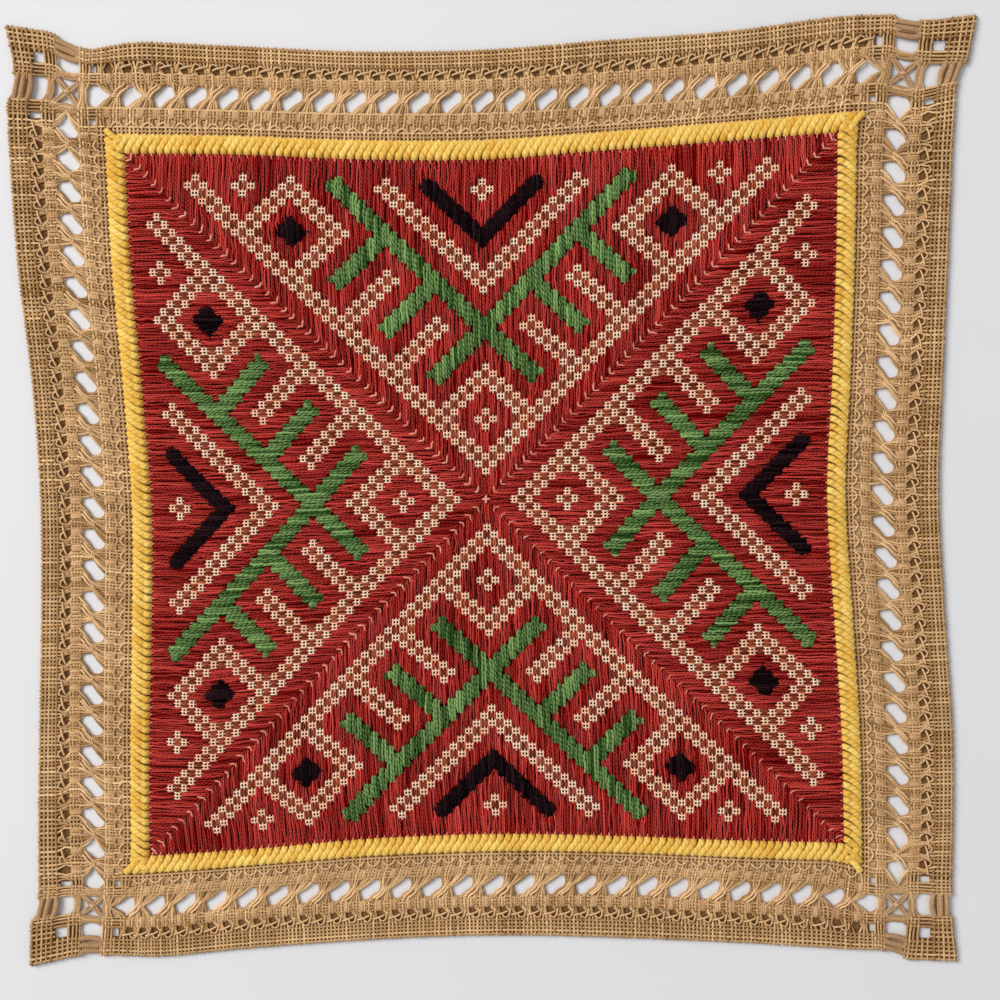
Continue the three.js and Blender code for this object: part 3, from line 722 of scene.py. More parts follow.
class YarnTree(Wiring):
    """The Geometry Nodes tree that spins yarn along centre-lines, with the yarns' materials."""

    SEED = 3.7
    INPUTS = {"Half Width": "Float", "Half Height": "Float", "Sides": "Int", "Wander": "Float",
              "Wander Scale": "Float", "Finish": "Material"}

    def __init__(self, groups: ShaderGroups) -> None:
        """Builds the tree and keeps the identifiers of its inputs."""
        super().__init__(bpy.data.node_groups.new("yarn_along_guides", "GeometryNodeTree"))
        self.groups = groups
        self.materials: dict[str, bpy.types.Material] = {}
        sockets = self.tree.interface
        sockets.new_socket("Guides", in_out="INPUT", socket_type="NodeSocketGeometry")
        self.ids = {
            name: sockets.new_socket(name, in_out="INPUT", socket_type=f"NodeSocket{kind}").identifier
            for name, kind in self.INPUTS.items()
        }
        sockets.new_socket("Yarn", in_out="OUTPUT", socket_type="NodeSocketGeometry")
        given = self.put("NodeGroupInput").outputs
        girth = self.put("GeometryNodeInputNamedAttribute", data_type="FLOAT", Name="girth")
        spun = self.put("GeometryNodeCurveToMesh", Fill_Caps=True, Curve=self._centre_lines(given),
                        Profile_Curve=self._section(given), Scale=girth.outputs["Attribute"])
        rounded = self.put("GeometryNodeSetShadeSmooth", Geometry=spun.outputs["Mesh"])
        real = self.put("GeometryNodeRealizeInstances", Geometry=rounded.outputs["Geometry"])
        dyed = self.put("GeometryNodeSetMaterial", Geometry=real.outputs["Geometry"], Material=given["Finish"])
        self.put("NodeGroupOutput", Yarn=dyed.outputs["Geometry"])

    def _store(self, geometry: bpy.types.NodeSocket, name: str,
               value: bpy.types.NodeSocket) -> bpy.types.NodeSocket:
        """A curve that keeps a float on each of its points."""
        return self.put("GeometryNodeStoreNamedAttribute", data_type="FLOAT", domain="POINT", Name=name,
                        Geometry=geometry, Value=value).outputs["Geometry"]

    def _vectors(self, operation: str, **values: object) -> bpy.types.NodeSocket:
        """The result of one Vector Math node."""
        return self.put("ShaderNodeVectorMath", operation=operation, **values).outputs["Vector"]

    def _centre_lines(self, given: bpy.types.NodeOutputs) -> bpy.types.NodeSocket:
        """The centre-lines as curves that lie flat, stray a little and know their own length."""
        curve = self.put("GeometryNodeMeshToCurve", Mesh=given["Guides"])
        where = self.put("GeometryNodeInputPosition").outputs["Position"]
        noise = self.put("ShaderNodeTexNoise", noise_dimensions="4D", W=self.SEED, Detail=1.0, Vector=where,
                         Scale=given["Wander Scale"])
        stray = self._vectors("SUBTRACT", _0=noise.outputs["Color"], _1=(0.5, 0.5, 0.5))
        stray = self._vectors("MULTIPLY", _0=stray, _1=(1.0, 1.0, 0.4))
        stray = self._vectors("SCALE", _0=stray, Scale=given["Wander"])
        moved = self.put("GeometryNodeSetPosition", Geometry=curve.outputs["Curve"], Offset=stray)
        upright = self.put("GeometryNodeSetCurveNormal", mode="Z_UP", Curve=moved.outputs["Geometry"])
        length = self.put("GeometryNodeSplineParameter").outputs["Length"]
        return self._store(upright.outputs["Curve"], "along", length)

    def _section(self, given: bpy.types.NodeOutputs) -> bpy.types.NodeSocket:
        """The flattened round section, whose points know how far across they lie."""
        circle = self.put("GeometryNodeCurvePrimitiveCircle", Radius=1.0, Resolution=given["Sides"])
        where = self.put("GeometryNodeInputPosition").outputs["Position"]
        across = self.put("ShaderNodeSeparateXYZ", Vector=where).outputs["X"]
        marked = self._store(circle.outputs["Curve"], "across", across)
        scale = self.put("ShaderNodeCombineXYZ", X=given["Half Width"], Y=given["Half Height"], Z=1.0)
        flat = self.put("GeometryNodeTransform", Geometry=marked, Scale=scale.outputs["Vector"])
        return flat.outputs["Geometry"]

    def spin(self, name: str, guides: Guides, finish: YarnFinish, *nodes: str) -> bpy.types.Object:
        """Spins one piece of the mat and dresses it.

        Args:
            name: Name of the piece.
            guides: The centre-lines.
            finish: The yarn.
            nodes: The CAD nodes that the piece stands for.

        Returns:
            A plain mesh object in metres, with its place in its mesh.
        """
        if finish.name not in self.materials:
            self.materials[finish.name] = finish.material(self.groups)
        raw = show(f"{name}_guides", guides.mesh(f"{name}_guides"))
        modifier = raw.modifiers.new("Yarn", "NODES")
        modifier.node_group = self.tree
        size = finish.size
        values = {
            "Half Width": size.half_width * MM,
            "Half Height": size.half_height * MM,
            "Sides": size.sides,
            "Wander": 2 * size.wander * MM,
            "Wander Scale": 1 / (size.wander_length * MM),
            "Finish": self.materials[finish.name],
        }
        for key, value in values.items():
            modifier[self.ids[key]] = value
        bpy.context.view_layer.update()
        shown = raw.evaluated_get(bpy.context.evaluated_depsgraph_get())
        mesh = bpy.data.meshes.new_from_object(shown)
        mesh.name = name
        raw.modifiers.clear()
        piece = show(name, mesh)
        bpy.data.objects.remove(raw, do_unlink=True)
        return dress(piece, finish.slot, *nodes)


def knot_slide(u: float) -> float:
    """How far the outer knots sit along from the inner ones at a count along a side, in threads."""
    return GROUP * (1 - float(smooth(np.array(abs(u)), 78, LAST_PLAIN)))


@dataclass
class GroundSheet:
    """The square of evenweave under all the stitches, with its round holes and corner windows.

    Attributes:
        half_width: Half width of a hole, in threads.
        half_height: Half height of a hole, in threads.
        slant: Lean of the holes.
        coarse: Threads between two lines of its mesh.
    """

    half_width: float = 2.45
    half_height: float = 2.75
    slant: float = 0.42
    coarse: int = 4

    GAPS = ((LAST_PLAIN, 98.6), (OUTER_RIB[1], HEM - 0.1))

    @staticmethod
    def top_height(out: float) -> float:
        """Height of the sheet's upper face at a count out from the middle."""
        stops = (0, FIELD + 1, BORDER - 1, HEM - 0.1, HEM + 0.1, EDGE - 0.4, EDGE)
        heights = (FIELD_BASE_TOP, FIELD_BASE_TOP, BASE_TOP, BASE_TOP, HEM_BASE_TOP, HEM_BASE_TOP, 0.7)
        return float(np.interp(out, stops, heights))

    def lines(self) -> list[float]:
        """Counts of the mesh's lines from the middle outwards, on both sides of it."""
        plain = list(range(0, 93, self.coarse))
        border = [BORDER, 96, LAST_PLAIN, 98.6, WINDOW[0], HOLES, WINDOW[1], OUTER_RIB[1], HEM - 0.1,
                  HEM + 0.1, 115.5, EDGE - 0.4, EDGE]
        out = sorted(set(float(v) for v in plain + border))
        return [-v for v in reversed(out[1:])] + out

    def _hole_ring(self, side: Side, middle: float) -> list[list[tuple[float, float]]]:
        """Faces between a round hole and the eight mesh points round it, as lists of counts."""
        frame_u = (4, 4, 0, -4, -4, -4, 0, 4)
        low, high = WINDOW
        frame_w = (HOLES, high, high, high, HOLES, low, low, low)
        outer = [(middle + u, w) for u, w in zip(frame_u, frame_w)]
        hole = []
        last = abs(middle) > HOLE_STEP * HOLES_EACH_WAY - 1
        height = 3.0 if last else self.half_height
        lean = 0.0 if last else self.slant
        width = 2.95 if last else self.half_width
        aside = -0.4 if last else 0.0
        for k in range(16):
            angle = 2 * math.pi * k / 16
            up = height * math.sin(angle)
            across = aside + width * math.cos(angle) + lean * up
            hole.append((middle + across, HOLES + up))
        faces = []
        for k in range(8):
            h = [hole[(2 * k + step) % 16] for step in (0, 1, 2)]
            face = [outer[k], outer[(k + 1) % 8], h[2], h[1], h[0]]
            faces.append([tuple(float(v) for v in side.turn(u, w)) for u, w in face])
        return faces

    @staticmethod
    def _in_window(a: float, b: float) -> bool:
        """Whether a mesh cell lies in a corner window or where drawn gaps cross."""
        low, high = sorted((abs(a), abs(b)))
        crossing = all(any(start < count < end for start, end in GroundSheet.GAPS) for count in (low, high))
        return WINDOW[0] < low < WINDOW[1] or crossing

    def faces(self) -> list[list[tuple[float, float]]]:
        """The sheet's faces in counts, without holes and windows."""
        lines = self.lines()
        reach = HOLES_EACH_WAY * HOLE_STEP + GROUP
        faces = []
        for a0, a1 in zip(lines, lines[1:]):
            for b0, b1 in zip(lines, lines[1:]):
                a, b = (a0 + a1) / 2, (b0 + b1) / 2
                low, high = sorted((abs(a), abs(b)))
                if self._in_window(a, b) or (WINDOW[0] < high < WINDOW[1] and low < reach):
                    continue
                faces.append([(a0, b0), (a1, b0), (a1, b1), (a0, b1)])
        for side in Side:
            for k in range(-HOLES_EACH_WAY, HOLES_EACH_WAY + 1):
                faces.extend(self._hole_ring(side, k * HOLE_STEP))
        return faces

    def build(self, finish: bpy.types.Material) -> bpy.types.Object:
        """The closed sheet, with upper and lower faces and walls round its edges."""
        index: dict[tuple[float, float], int] = {}
        faces = []
        for face in self.faces():
            corners = [index.setdefault((round(a, 4), round(b, 4)), len(index)) for a, b in face]
            points = np.array([list(index)[c] for c in corners])
            a, b = points[:, 0], points[:, 1]
            area = np.sum(a * np.roll(b, -1) - np.roll(a, -1) * b)
            faces.append(corners if area > 0 else corners[::-1])
        counts = np.array(list(index))
        x, y = PLAN.place(counts[:, 0], counts[:, 1])
        out = np.max(np.abs(counts), axis=1)
        top = np.array([self.top_height(v) for v in out])
        upper = np.stack([x, y, top], axis=1)
        lower = np.stack([x, y, np.zeros_like(x)], axis=1)
        directed = {(i, j) for face in faces for i, j in zip(face, face[1:] + face[:1])}
        size = len(index)
        walls = [(j, i, i + size, j + size) for i, j in directed if (j, i) not in directed]
        under = [[v + size for v in reversed(face)] for face in faces]
        mesh = bpy.data.meshes.new("cloth_sheet")
        mesh.from_pydata((np.concatenate([upper, lower]) * MM).tolist(), [], faces + under + walls)
        for name, column in (("count_a", 0), ("count_b", 1)):
            layer = mesh.attributes.new(name, "FLOAT", "POINT")
            layer.data.foreach_set("value", np.tile(counts[:, column], 2).astype(np.float32))
        mesh.materials.append(finish)
        return show("cloth_sheet", mesh)


@dataclass
class WovenBorder:
    """Every thread of the border: plain weave, woven knots, drawn bundles and hem.

    Attributes:
        rows: Counts of the threads that run along each side, with their weaving order.
        level: Height of the weave's middle.
        hem_level: The same on the doubled hem.
        lift: How far a thread rises over another.
        squeeze: How close a knot's perpendicular threads lie, as a share.
        bundle: The same where two groups meet between the holes.
    """

    rows: tuple = (
        (94.5, 94), (95.5, 95), (96.5, 96),
        (98.5, 98), (99.35, 99), (100.15, 100), (101.0, 101),
        (107.3, 108), (108.2, 109), (109.1, 110), (110.0, 111),
        (113.5, 113), (114.5, 114), (115.5, 115), (116.5, 116), (117.5, 117),
    )
    level: float = 0.86
    hem_level: float = 1.45
    lift: float = 0.17
    squeeze: float = 0.8
    bundle: float = 0.24

    def __post_init__(self) -> None:
        """Seeds the small unevenness."""
        self.random = np.random.default_rng(11)

    def gathered(self, along: float, out: float) -> float:
        """Where a thread at a count along a side lies, at a count out from the middle.

        Between two holes two groups meet. From there one of them leads to the next outer knot, so
        each group reaches the outer knots one knot further along than it left the inner ones.
        """
        if abs(along) > LAST_PLAIN:
            return self._gathered_corner(along, out)
        group = GROUP * round(along / GROUP)
        rest = along - group
        pair = HOLE_STEP * math.floor(group / HOLE_STEP)
        slide = knot_slide(along)
        meeting = pair + GROUP + (along - pair - GROUP / 2) * self.bundle
        if group >= HOLE_STEP * HOLES_EACH_WAY:
            meeting = group + 3.4 + rest * self.bundle
        tight = rest * self.squeeze
        outs = (97.0, 97.8, 98.6, 100.9, 101.6, HOLES, 106.9, 107.3, 110.0, 111.4, 112.3, 113.3)
        places = (along, group + rest * 0.7, group + tight, group + tight, group + 0.2 + rest * 0.75, meeting,
                  group + slide - 0.2 + rest * 0.75, group + slide + tight, group + slide + tight,
                  group + 0.78 * slide + rest * 0.38, group + 0.7 * slide + rest * 0.7, along + 0.7 * slide)
        return float(np.interp(out, outs, places))

    def _gathered_corner(self, along: float, out: float) -> float:
        """The same for the knots and hem of the neighbouring side, next to a corner window."""
        if not 101.5 < out < 107.0:
            return along
        size = abs(along)
        if size < 103:
            middle, spread = 99.9, 0.5
        elif size < HEM:
            middle, spread = OUTER_KNOT, 0.25
        else:
            middle, spread = 114.9, 0.78
        return math.copysign(middle + (size - middle) * spread, along)

    def pinched(self, row: float, along: float) -> float:
        """Where a row of a knot lies, drawn to its knot's middle between two knots."""
        size = abs(row)
        middle = INNER_KNOT if INNER_RIB[0] < size < INNER_RIB[1] else OUTER_KNOT
        if not (INNER_RIB[0] < size < INNER_RIB[1] or OUTER_RIB[0] < size < OUTER_RIB[1]):
            return row
        if abs(along) > LAST_PLAIN:
            return row
        from_middle = abs(along - GROUP * round(along / GROUP)) / (GROUP / 2)
        pinch = 1.06 - 0.5 * max(0.0, from_middle - 0.25) / 0.75
        return math.copysign(middle + (size - middle) * pinch, row)

    def height(self, a: float, b: float) -> float:
        """Height of the weave's middle at a place."""
        return self.hem_level if max(abs(a), abs(b)) > HEM - 0.2 else self.level

    def crossing(self, vertical: float, horizontal: float) -> tuple[float, float]:
        """Counts of the place where a vertical and a horizontal thread cross."""
        turn_a = math.copysign(1, horizontal)
        turn_b = -math.copysign(1, vertical)
        if abs(vertical) <= LAST_PLAIN or abs(horizontal) > 101:
            across = turn_a * self.gathered(turn_a * vertical, abs(horizontal))
        else:
            across = self.pinched(vertical, horizontal)
        if abs(horizontal) <= LAST_PLAIN or abs(vertical) > 101:
            up = turn_b * self.gathered(turn_b * horizontal, abs(vertical))
        else:
            up = self.pinched(horizontal, vertical)
        return across, up

    def stations(self, count: float) -> list[tuple[float, int | None]]:
        """Counts that a thread passes on one half of its way, with the order of what it crosses there.

        Args:
            count: The thread's own count from the middle.

        Returns:
            (count, order) pairs, with no order where it crosses nothing.
        """
        free = [(97.7, None), (102.8, None), (HOLES, None), (105.8, None), (111.4, None), (112.3, None),
                (EDGE + 0.15, None)]
        stops = sorted([(row, order) for row, order in self.rows] + free)
        size = abs(count)
        if size < BORDER:
            return [(FIELD + 2.5, None)] + stops
        return [(k + 0.5, k) for k in range(LAST_THREAD)] + stops

    def thread(self, guides: Guides, side: Side, count: float, order: int, vertical: bool) -> None:
        """Lays one thread of the border.

        Args:
            guides: Where it is laid.
            side: The side that it runs out of, for a thread that ends under the wool.
            count: Its count from the middle, with its sign.
            order: Its place in the weave.
            vertical: Whether it runs up and down.
        """
        stops = self.stations(count)
        if abs(count) < BORDER:
            path = [(side.way * out, cross) for out, cross in stops]
        else:
            path = [(-out, cross) for out, cross in reversed(stops)] + list(stops)
        a, b, z = [], [], []
        for place, cross in path:
            across, up = self.crossing(count, place) if vertical else self.crossing(place, count)
            high = self.height(across, up)
            if cross is not None:
                over = (order + cross) % 2 == 0
                high += self.lift * (1 if over == vertical else -1)
            elif abs(place) > EDGE:
                high -= 0.55
            elif abs(count) > HEM and 102 < abs(place) < 107:
                high -= 0.6
            elif abs(place) < BORDER:
                high = 1.15
            a.append(across)
            b.append(up)
            z.append(high + 0.05 * self.random.standard_normal())
        ends = [math.copysign(min(abs(v), EDGE + 0.15), v) for v in (b if vertical else a)]
        if vertical:
            b = ends
        else:
            a = ends
        girth = self.random.uniform(0.88, 1.12)
        shade = some_shade(self.random, 0.52, 0.2, 0.05, 1.0)
        guides.lay(np.array(a), np.array(b), np.array(z), girth, shade)

    def fill_corners(self, guides: Guides) -> None:
        """Short threads that close the hem where the drawn gaps would run through it at the corners."""
        gaps = ((97.75, 97), (111.1, 112), (112.2, 113))
        hem = [(row, order) for row, order in self.rows if row > HEM]
        for side_x, side_y in CORNER_PLACES:
            for count, order in gaps:
                for turned in (False, True):
                    along = np.array([HEM - 0.2] + [row for row, _ in hem] + [EDGE])
                    waves = [self.lift * (1 if (order + cross) % 2 == turned else -1) for _, cross in hem]
                    z = self.hem_level + np.array([-0.3] + waves + [-0.3])
                    still = np.full(len(along), count)
                    a, b = (along, still) if turned else (still, along)
                    guides.lay(side_x * a, side_y * b, z, self.random.uniform(0.9, 1.1), 0.5)

    def build(self, yarn: YarnTree) -> list[bpy.types.Object]:
        """The threads in four pieces, one for each side."""
        pieces = []
        for side in Side:
            guides = Guides()
            for k in range(-LAST_THREAD, LAST_THREAD):
                self.thread(guides, side, k + 0.5, k, side.upright)
            for row, order in self.rows:
                self.thread(guides, side, side.way * row, order, not side.upright)
            if side is Side.TOP:
                self.fill_corners(guides)
            pieces.append(yarn.spin(f"border_threads_{side.value}", guides, TAN_THREAD))
        return pieces


@dataclass
class BorderStitches:
    """The sewing thread of the border: the hem's loops, the wraps between the knots and the gathers."""

    seed: int = 5

    def _hem_loop(self, guides: Guides, side: Side, middle: float) -> None:
        """One hooked loop round a group below the hem, with the slanting strand to the next one."""
        u = np.array([-1.3, -1.1, -0.9, -0.2, 0.6, 0.9]) + middle
        w = np.array([110.6, 111.2, 112.2, 112.8, 112.5, 111.9])
        z = np.array([1.1, 1.45, 1.8, 1.95, 1.75, 1.2])
        guides.lay_on(side, u, w, z, 1.0, 0.7)
        u = np.array([-0.5, 0.3, 1.2, 2.0, 2.7]) + middle
        w = np.array([111.3, 111.6, 111.9, 112.1, 112.3])
        guides.lay_on(side, u, w, np.array([1.1, 1.45, 1.55, 1.5, 1.2]), 1.1, 0.85)

    def _inner_arc(self, guides: Guides, side: Side, middle: float) -> None:
        """One short arc at the inner edge of the drawn threads."""
        u = np.array([-1.4, -0.8, 0.1, 1.0, 1.8]) + middle
        w = np.array([96.2, 97.1, 97.6, 97.2, 96.4])
        guides.lay_on(side, u, w, np.array([0.95, 1.25, 1.4, 1.3, 0.95]), 1.15, 0.85)

    def _wrap(self, guides: Guides, side: Side, u: float, inner: bool, shade: float) -> None:
        """One turn of thread round the rows between two knots."""
        low, high = (98.6, 101.0) if inner else (107.2, 110.1)
        w = np.linspace(low, high, 6)
        z = np.array([0.7, 1.02, 1.14, 1.14, 1.02, 0.7])
        bow = np.array([0.0, 0.06, 0.1, 0.1, 0.06, 0.0]) * (-1 if shade > 0.6 else 1)
        guides.lay_on(side, u + bow, w, z, 1.25, shade)

    def _gather(self, guides: Guides, side: Side, middle: float, apart: float) -> None:
        """One slanting strand from where two groups meet up to the outer knots."""
        u = np.array([-0.3, 0.3, 0.9, 1.7, 2.4, 2.8]) + middle + apart
        w = np.array([103.4, 104.2, 105.1, 105.8, 106.3, 106.9]) - 0.7 * apart
        guides.lay_on(side, u, w, np.array([0.8, 1.3, 1.42, 1.4, 1.25, 0.85]), 1.3, 0.95)

    def _binding(self, guides: Guides, side: Side, middle: float) -> None:
        """One short turn over the place where two groups meet."""
        for step in (-0.25, 0.25):
            u = np.array([-1.3, -0.6, 0.0, 0.6, 1.3]) + middle
            w = np.array([-0.15, -0.1, 0.05, 0.2, 0.3]) + HOLES - 0.1 + step
            guides.lay_on(side, u, w, np.array([0.6, 1.15, 1.35, 1.15, 0.6]), 0.9, 0.75)

    def build(self, yarn: YarnTree) -> bpy.types.Object:
        """All the sewing strands as one piece."""
        random = np.random.default_rng(self.seed)
        guides = Guides()
        for side in Side:
            for k in range(-23, 24):
                knot = GROUP * k
                outer = knot + knot_slide(knot)
                self._hem_loop(guides, side, outer + 0.8 + random.uniform(-0.2, 0.2))
                self._inner_arc(guides, side, knot + random.uniform(-0.3, 0.3))
            for k in range(-24, 24):
                knot = GROUP * k + GROUP / 2
                for apart in (-0.42, 0.0, 0.42):
                    u = knot + apart + random.uniform(-0.08, 0.08)
                    self._wrap(guides, side, u, True, random.uniform(0.25, 0.75))
                    u = knot + knot_slide(knot) + apart + random.uniform(-0.08, 0.08)
                    self._wrap(guides, side, u, False, random.uniform(0.25, 0.75))
            for k in range(-12, 12):
                middle = HOLE_STEP * k + HOLE_STEP / 2
                self._binding(guides, side, middle)
                for apart in (-0.36, 0.36):
                    self._gather(guides, side, middle, apart + random.uniform(-0.16, 0.16))
        return yarn.spin("border_stitches", guides, SEWING_THREAD)


@dataclass
class CornerBars:
    """The wrapped bars that cross the corner windows, and the crossed arms with their small knot.

    Attributes:
        bar_height: Height of a bar's middle.
    """

    bar_height: float = 0.75

    def bars(self) -> Guides:
        """Centre-lines of the wrapped bars."""
        guides = Guides()
        straight = []
        for count, bow, girth in ((99.6, 0.3, 0.8), (100.5, 0.5, 0.8), (108.2, -0.5, 0.8), (109.1, -0.3, 0.8)):
            straight.append(((101.0, count), (107.3, count), bow, girth))
        for count, bow, girth in ((113.7, -0.6, 1.3), (115.2, 0.0, 1.3), (116.7, 0.0, 1.2)):
            straight.append(((100.9, count), (107.4, count), bow, girth))
        slanting = (((100.4, 100.4), (108.0, 108.0)), ((100.4, 108.0), (108.0, 100.4)))
        t = np.linspace(0, 1, 13)
        for side_x, side_y in CORNER_PLACES:
            for turned in (False, True):
                for start, end, bow, girth in straight:
                    along = start[0] + (end[0] - start[0]) * t
                    aside = start[1] + bow * np.sin(math.pi * t)
                    a, b = (aside, along) if turned else (along, aside)
                    height = self.bar_height + (0.5 if start[1] > HEM else 0.0)
                    guides.lay(side_x * a, side_y * b, np.full(13, height), girth, 0.55)
            for order, (start, end) in enumerate(slanting):
                for apart in (-0.3, 0.3):
                    across = apart * np.sin(math.pi * t) ** 0.5
                    a = start[0] + (end[0] - start[0]) * t + across * (-1 if order == 0 else 1)
                    b = start[1] + (end[1] - start[1]) * t + across
                    z = self.bar_height + 0.2 * order * np.sin(math.pi * t)
                    guides.lay(side_x * a, side_y * b, z, 0.68, 0.65)
            middle = np.array([103.6, 103.9, 104.2, 104.5, 104.8])
            z = np.array([0.9, 1.35, 1.45, 1.35, 0.9])
            guides.lay(side_x * middle, np.full(5, side_y * 104.2), z, 0.8, 0.95)
        return guides

    def build(self, yarn: YarnTree) -> bpy.types.Object:
        """The bars as one piece."""
        return yarn.spin("wrapped_bars", self.bars(), WRAPPED_THREAD)


Box = tuple[tuple[float, float], tuple[float, float]]


class Lattice:
    """The darned pattern of one quarter, in steps p and q of its slanting lattice.

    A step's count across is 2 (p - q) threads and its count outwards is 2 (p + q) threads. All of it
    is mirrored in the quarter's middle line.
    """

    BRANCHES: tuple[Box, ...] = (
        ((4.7, 30.6), (10.7, 12.3)), ((16.7, 18.3), (4.7, 11.5)), ((22.7, 24.3), (4.8, 11.5)),
    )
    CHEVRON: tuple[Box, ...] = (((16.65, 24.8), (16.65, 18.1)),)
    EYE: tuple[Box, ...] = (((28.4, 30.6), (4.6, 6.7)),)
    MARKS = (
        (range(2, 40), range(2, 4)), (range(8, 10), range(4, 10)), (range(5, 7), range(5, 7)),
        (range(14, 16), range(4, 10)), (range(20, 22), range(4, 10)), (range(14, 28), range(14, 16)),
        (range(26, 28), range(4, 10)), (range(32, 34), range(4, 10)), (range(28, 32), range(8, 10)),
        (range(35, 37), range(5, 7)), (range(20, 22), range(20, 22)),
    )

    @staticmethod
    def drawn_in(out: float) -> float:
        """A count outwards after the wool has drawn the cloth in towards the middle."""
        return out - DRAWN_IN * max(0.0, 1 - out / DRAWN_IN_REACH)

    def __init__(self) -> None:
        """Sorts the pale marks into the columns of the quarter."""
        marks = set()
        for p_range, q_range in self.MARKS:
            for p in p_range:
                for q in q_range:
                    marks.update(((p, q), (q, p)))
        self.marks = sorted(marks)
        self.columns: dict[int, list[float]] = {}
        for p, q in self.marks:
            self.columns.setdefault(2 * (p - q), []).append(self.drawn_in(2 * (p + q)))

    @staticmethod
    def spans(u: float, boxes: tuple[Box, ...]) -> list[tuple[float, float]]:
        """Where a column passes a shape.

        Args:
            u: The column's count across.
            boxes: The shape's boxes in lattice steps, without their mirror images.

        Returns:
            Joined (from, to) counts outwards.
        """
        found = []
        for (p0, p1), (q0, q1) in boxes:
            for across in (u, -u):
                low = max(4 * p0 - across, 4 * q0 + across)
                high = min(4 * p1 - across, 4 * q1 + across)
                if high - low > 0.8:
                    found.append((low, high))
        joined: list[tuple[float, float]] = []
        for low, high in sorted(found):
            if joined and low <= joined[-1][1] + 0.5:
                joined[-1] = (joined[-1][0], max(high, joined[-1][1]))
            else:
                joined.append((low, high))
        return [(Lattice.drawn_in(low), Lattice.drawn_in(high)) for low, high in joined]


@dataclass
class RedField:
    """The red wool of one quarter: floats that run straight out between the pale marks.

    Attributes:
        side: The quarter's side.
        lattice: Its pattern.
        low: Height at which a float dives into the cloth.
        belly: Height of a long float's middle.
        short_belly: Height of the middle of a float between two marks.
    """

    side: Side
    lattice: Lattice
    low: float = 1.1
    belly: float = 1.72
    short_belly: float = 1.5

    STRANDS = (-0.75, -0.25, 0.25, 0.75)

    def floats(self) -> tuple[Guides, Guides]:
        """Centre-lines of the long floats, and of the short ones between two marks."""
        random = np.random.default_rng(100 + list(Side).index(self.side))
        long_floats = Guides()
        short_floats = Guides()
        for column in range(-LAST_COLUMN, LAST_COLUMN + 1):
            u = 2 * column
            marks = [(m - 1.0, m + 1.0) for m in self.lattice.columns.get(u, [])]
            for offset in self.STRANDS:
                across = u + offset
                start = abs(across)
                if start >= FIELD - 0.5:
                    continue
                stops = list(marks)
                for boxes in (Lattice.BRANCHES, Lattice.CHEVRON, Lattice.EYE):
                    stops += [(low + 0.4, high - 0.4) for low, high in self.lattice.spans(across, boxes)]
                for low, high in sorted(stops) + [(FIELD, FIELD + 1)]:
                    if low - start > 0.7 and low > start:
                        after_mark = any(start == high_end for _, high_end in marks)
                        before_mark = any(low == low_end for low_end, _ in marks)
                        short = low - start < 3.5 and after_mark and before_mark
                        self._float(short_floats if short else long_floats, random, across, start, low)
                    start = max(start, high)
        return long_floats, short_floats

    def _float(self, guides: Guides, random: np.random.Generator, u: float, start: float,
               end: float) -> None:
        """One float from start to end counts outwards."""
        length = end - start
        points = int(np.clip(round(length / 4.0) + 3, 4, 8))
        t = np.linspace(0, 1, points)
        t = t + 0.12 * np.sin(2 * math.pi * t) * (-1 if length > 5 else 0)
        short = length < 3.5
        belly = self.short_belly if short else self.belly + random.uniform(-0.1, 0.12)
        edge = np.minimum(np.minimum(t, 1 - t) * length / 0.9, 1.0)
        z = self.low + (belly - self.low) * np.sin(edge * math.pi / 2)
        sway = random.uniform(-0.24, 0.24, points) * (0.3 if short else 1.0)
        across = u + sway
        gap = math.floor(u) + (1 if u - math.floor(u) > 0.5 else 0)
        across[0] += 0.3 * (gap - u)
        across[-1] += 0.3 * (gap - u)
        shade = some_shade(random, 0.5, 0.22, 0.02, 1.0)
        girth = random.uniform(0.85, 1.15)
        guides.lay_on(self.side, across, start + length * t, z, girth, shade)

    def build(self, yarn: YarnTree) -> list[bpy.types.Object]:
        """The quarter's red wool as two pieces, the long floats and the short ones."""
        side = self.side.value
        long_floats, short_floats = self.floats()
        return [
            yarn.spin(f"red_floats_{side}", long_floats, RED_WOOL, f"red_field_{side}"),
            yarn.spin(f"red_short_floats_{side}", short_floats, RED_BETWEEN_MARKS),
        ]


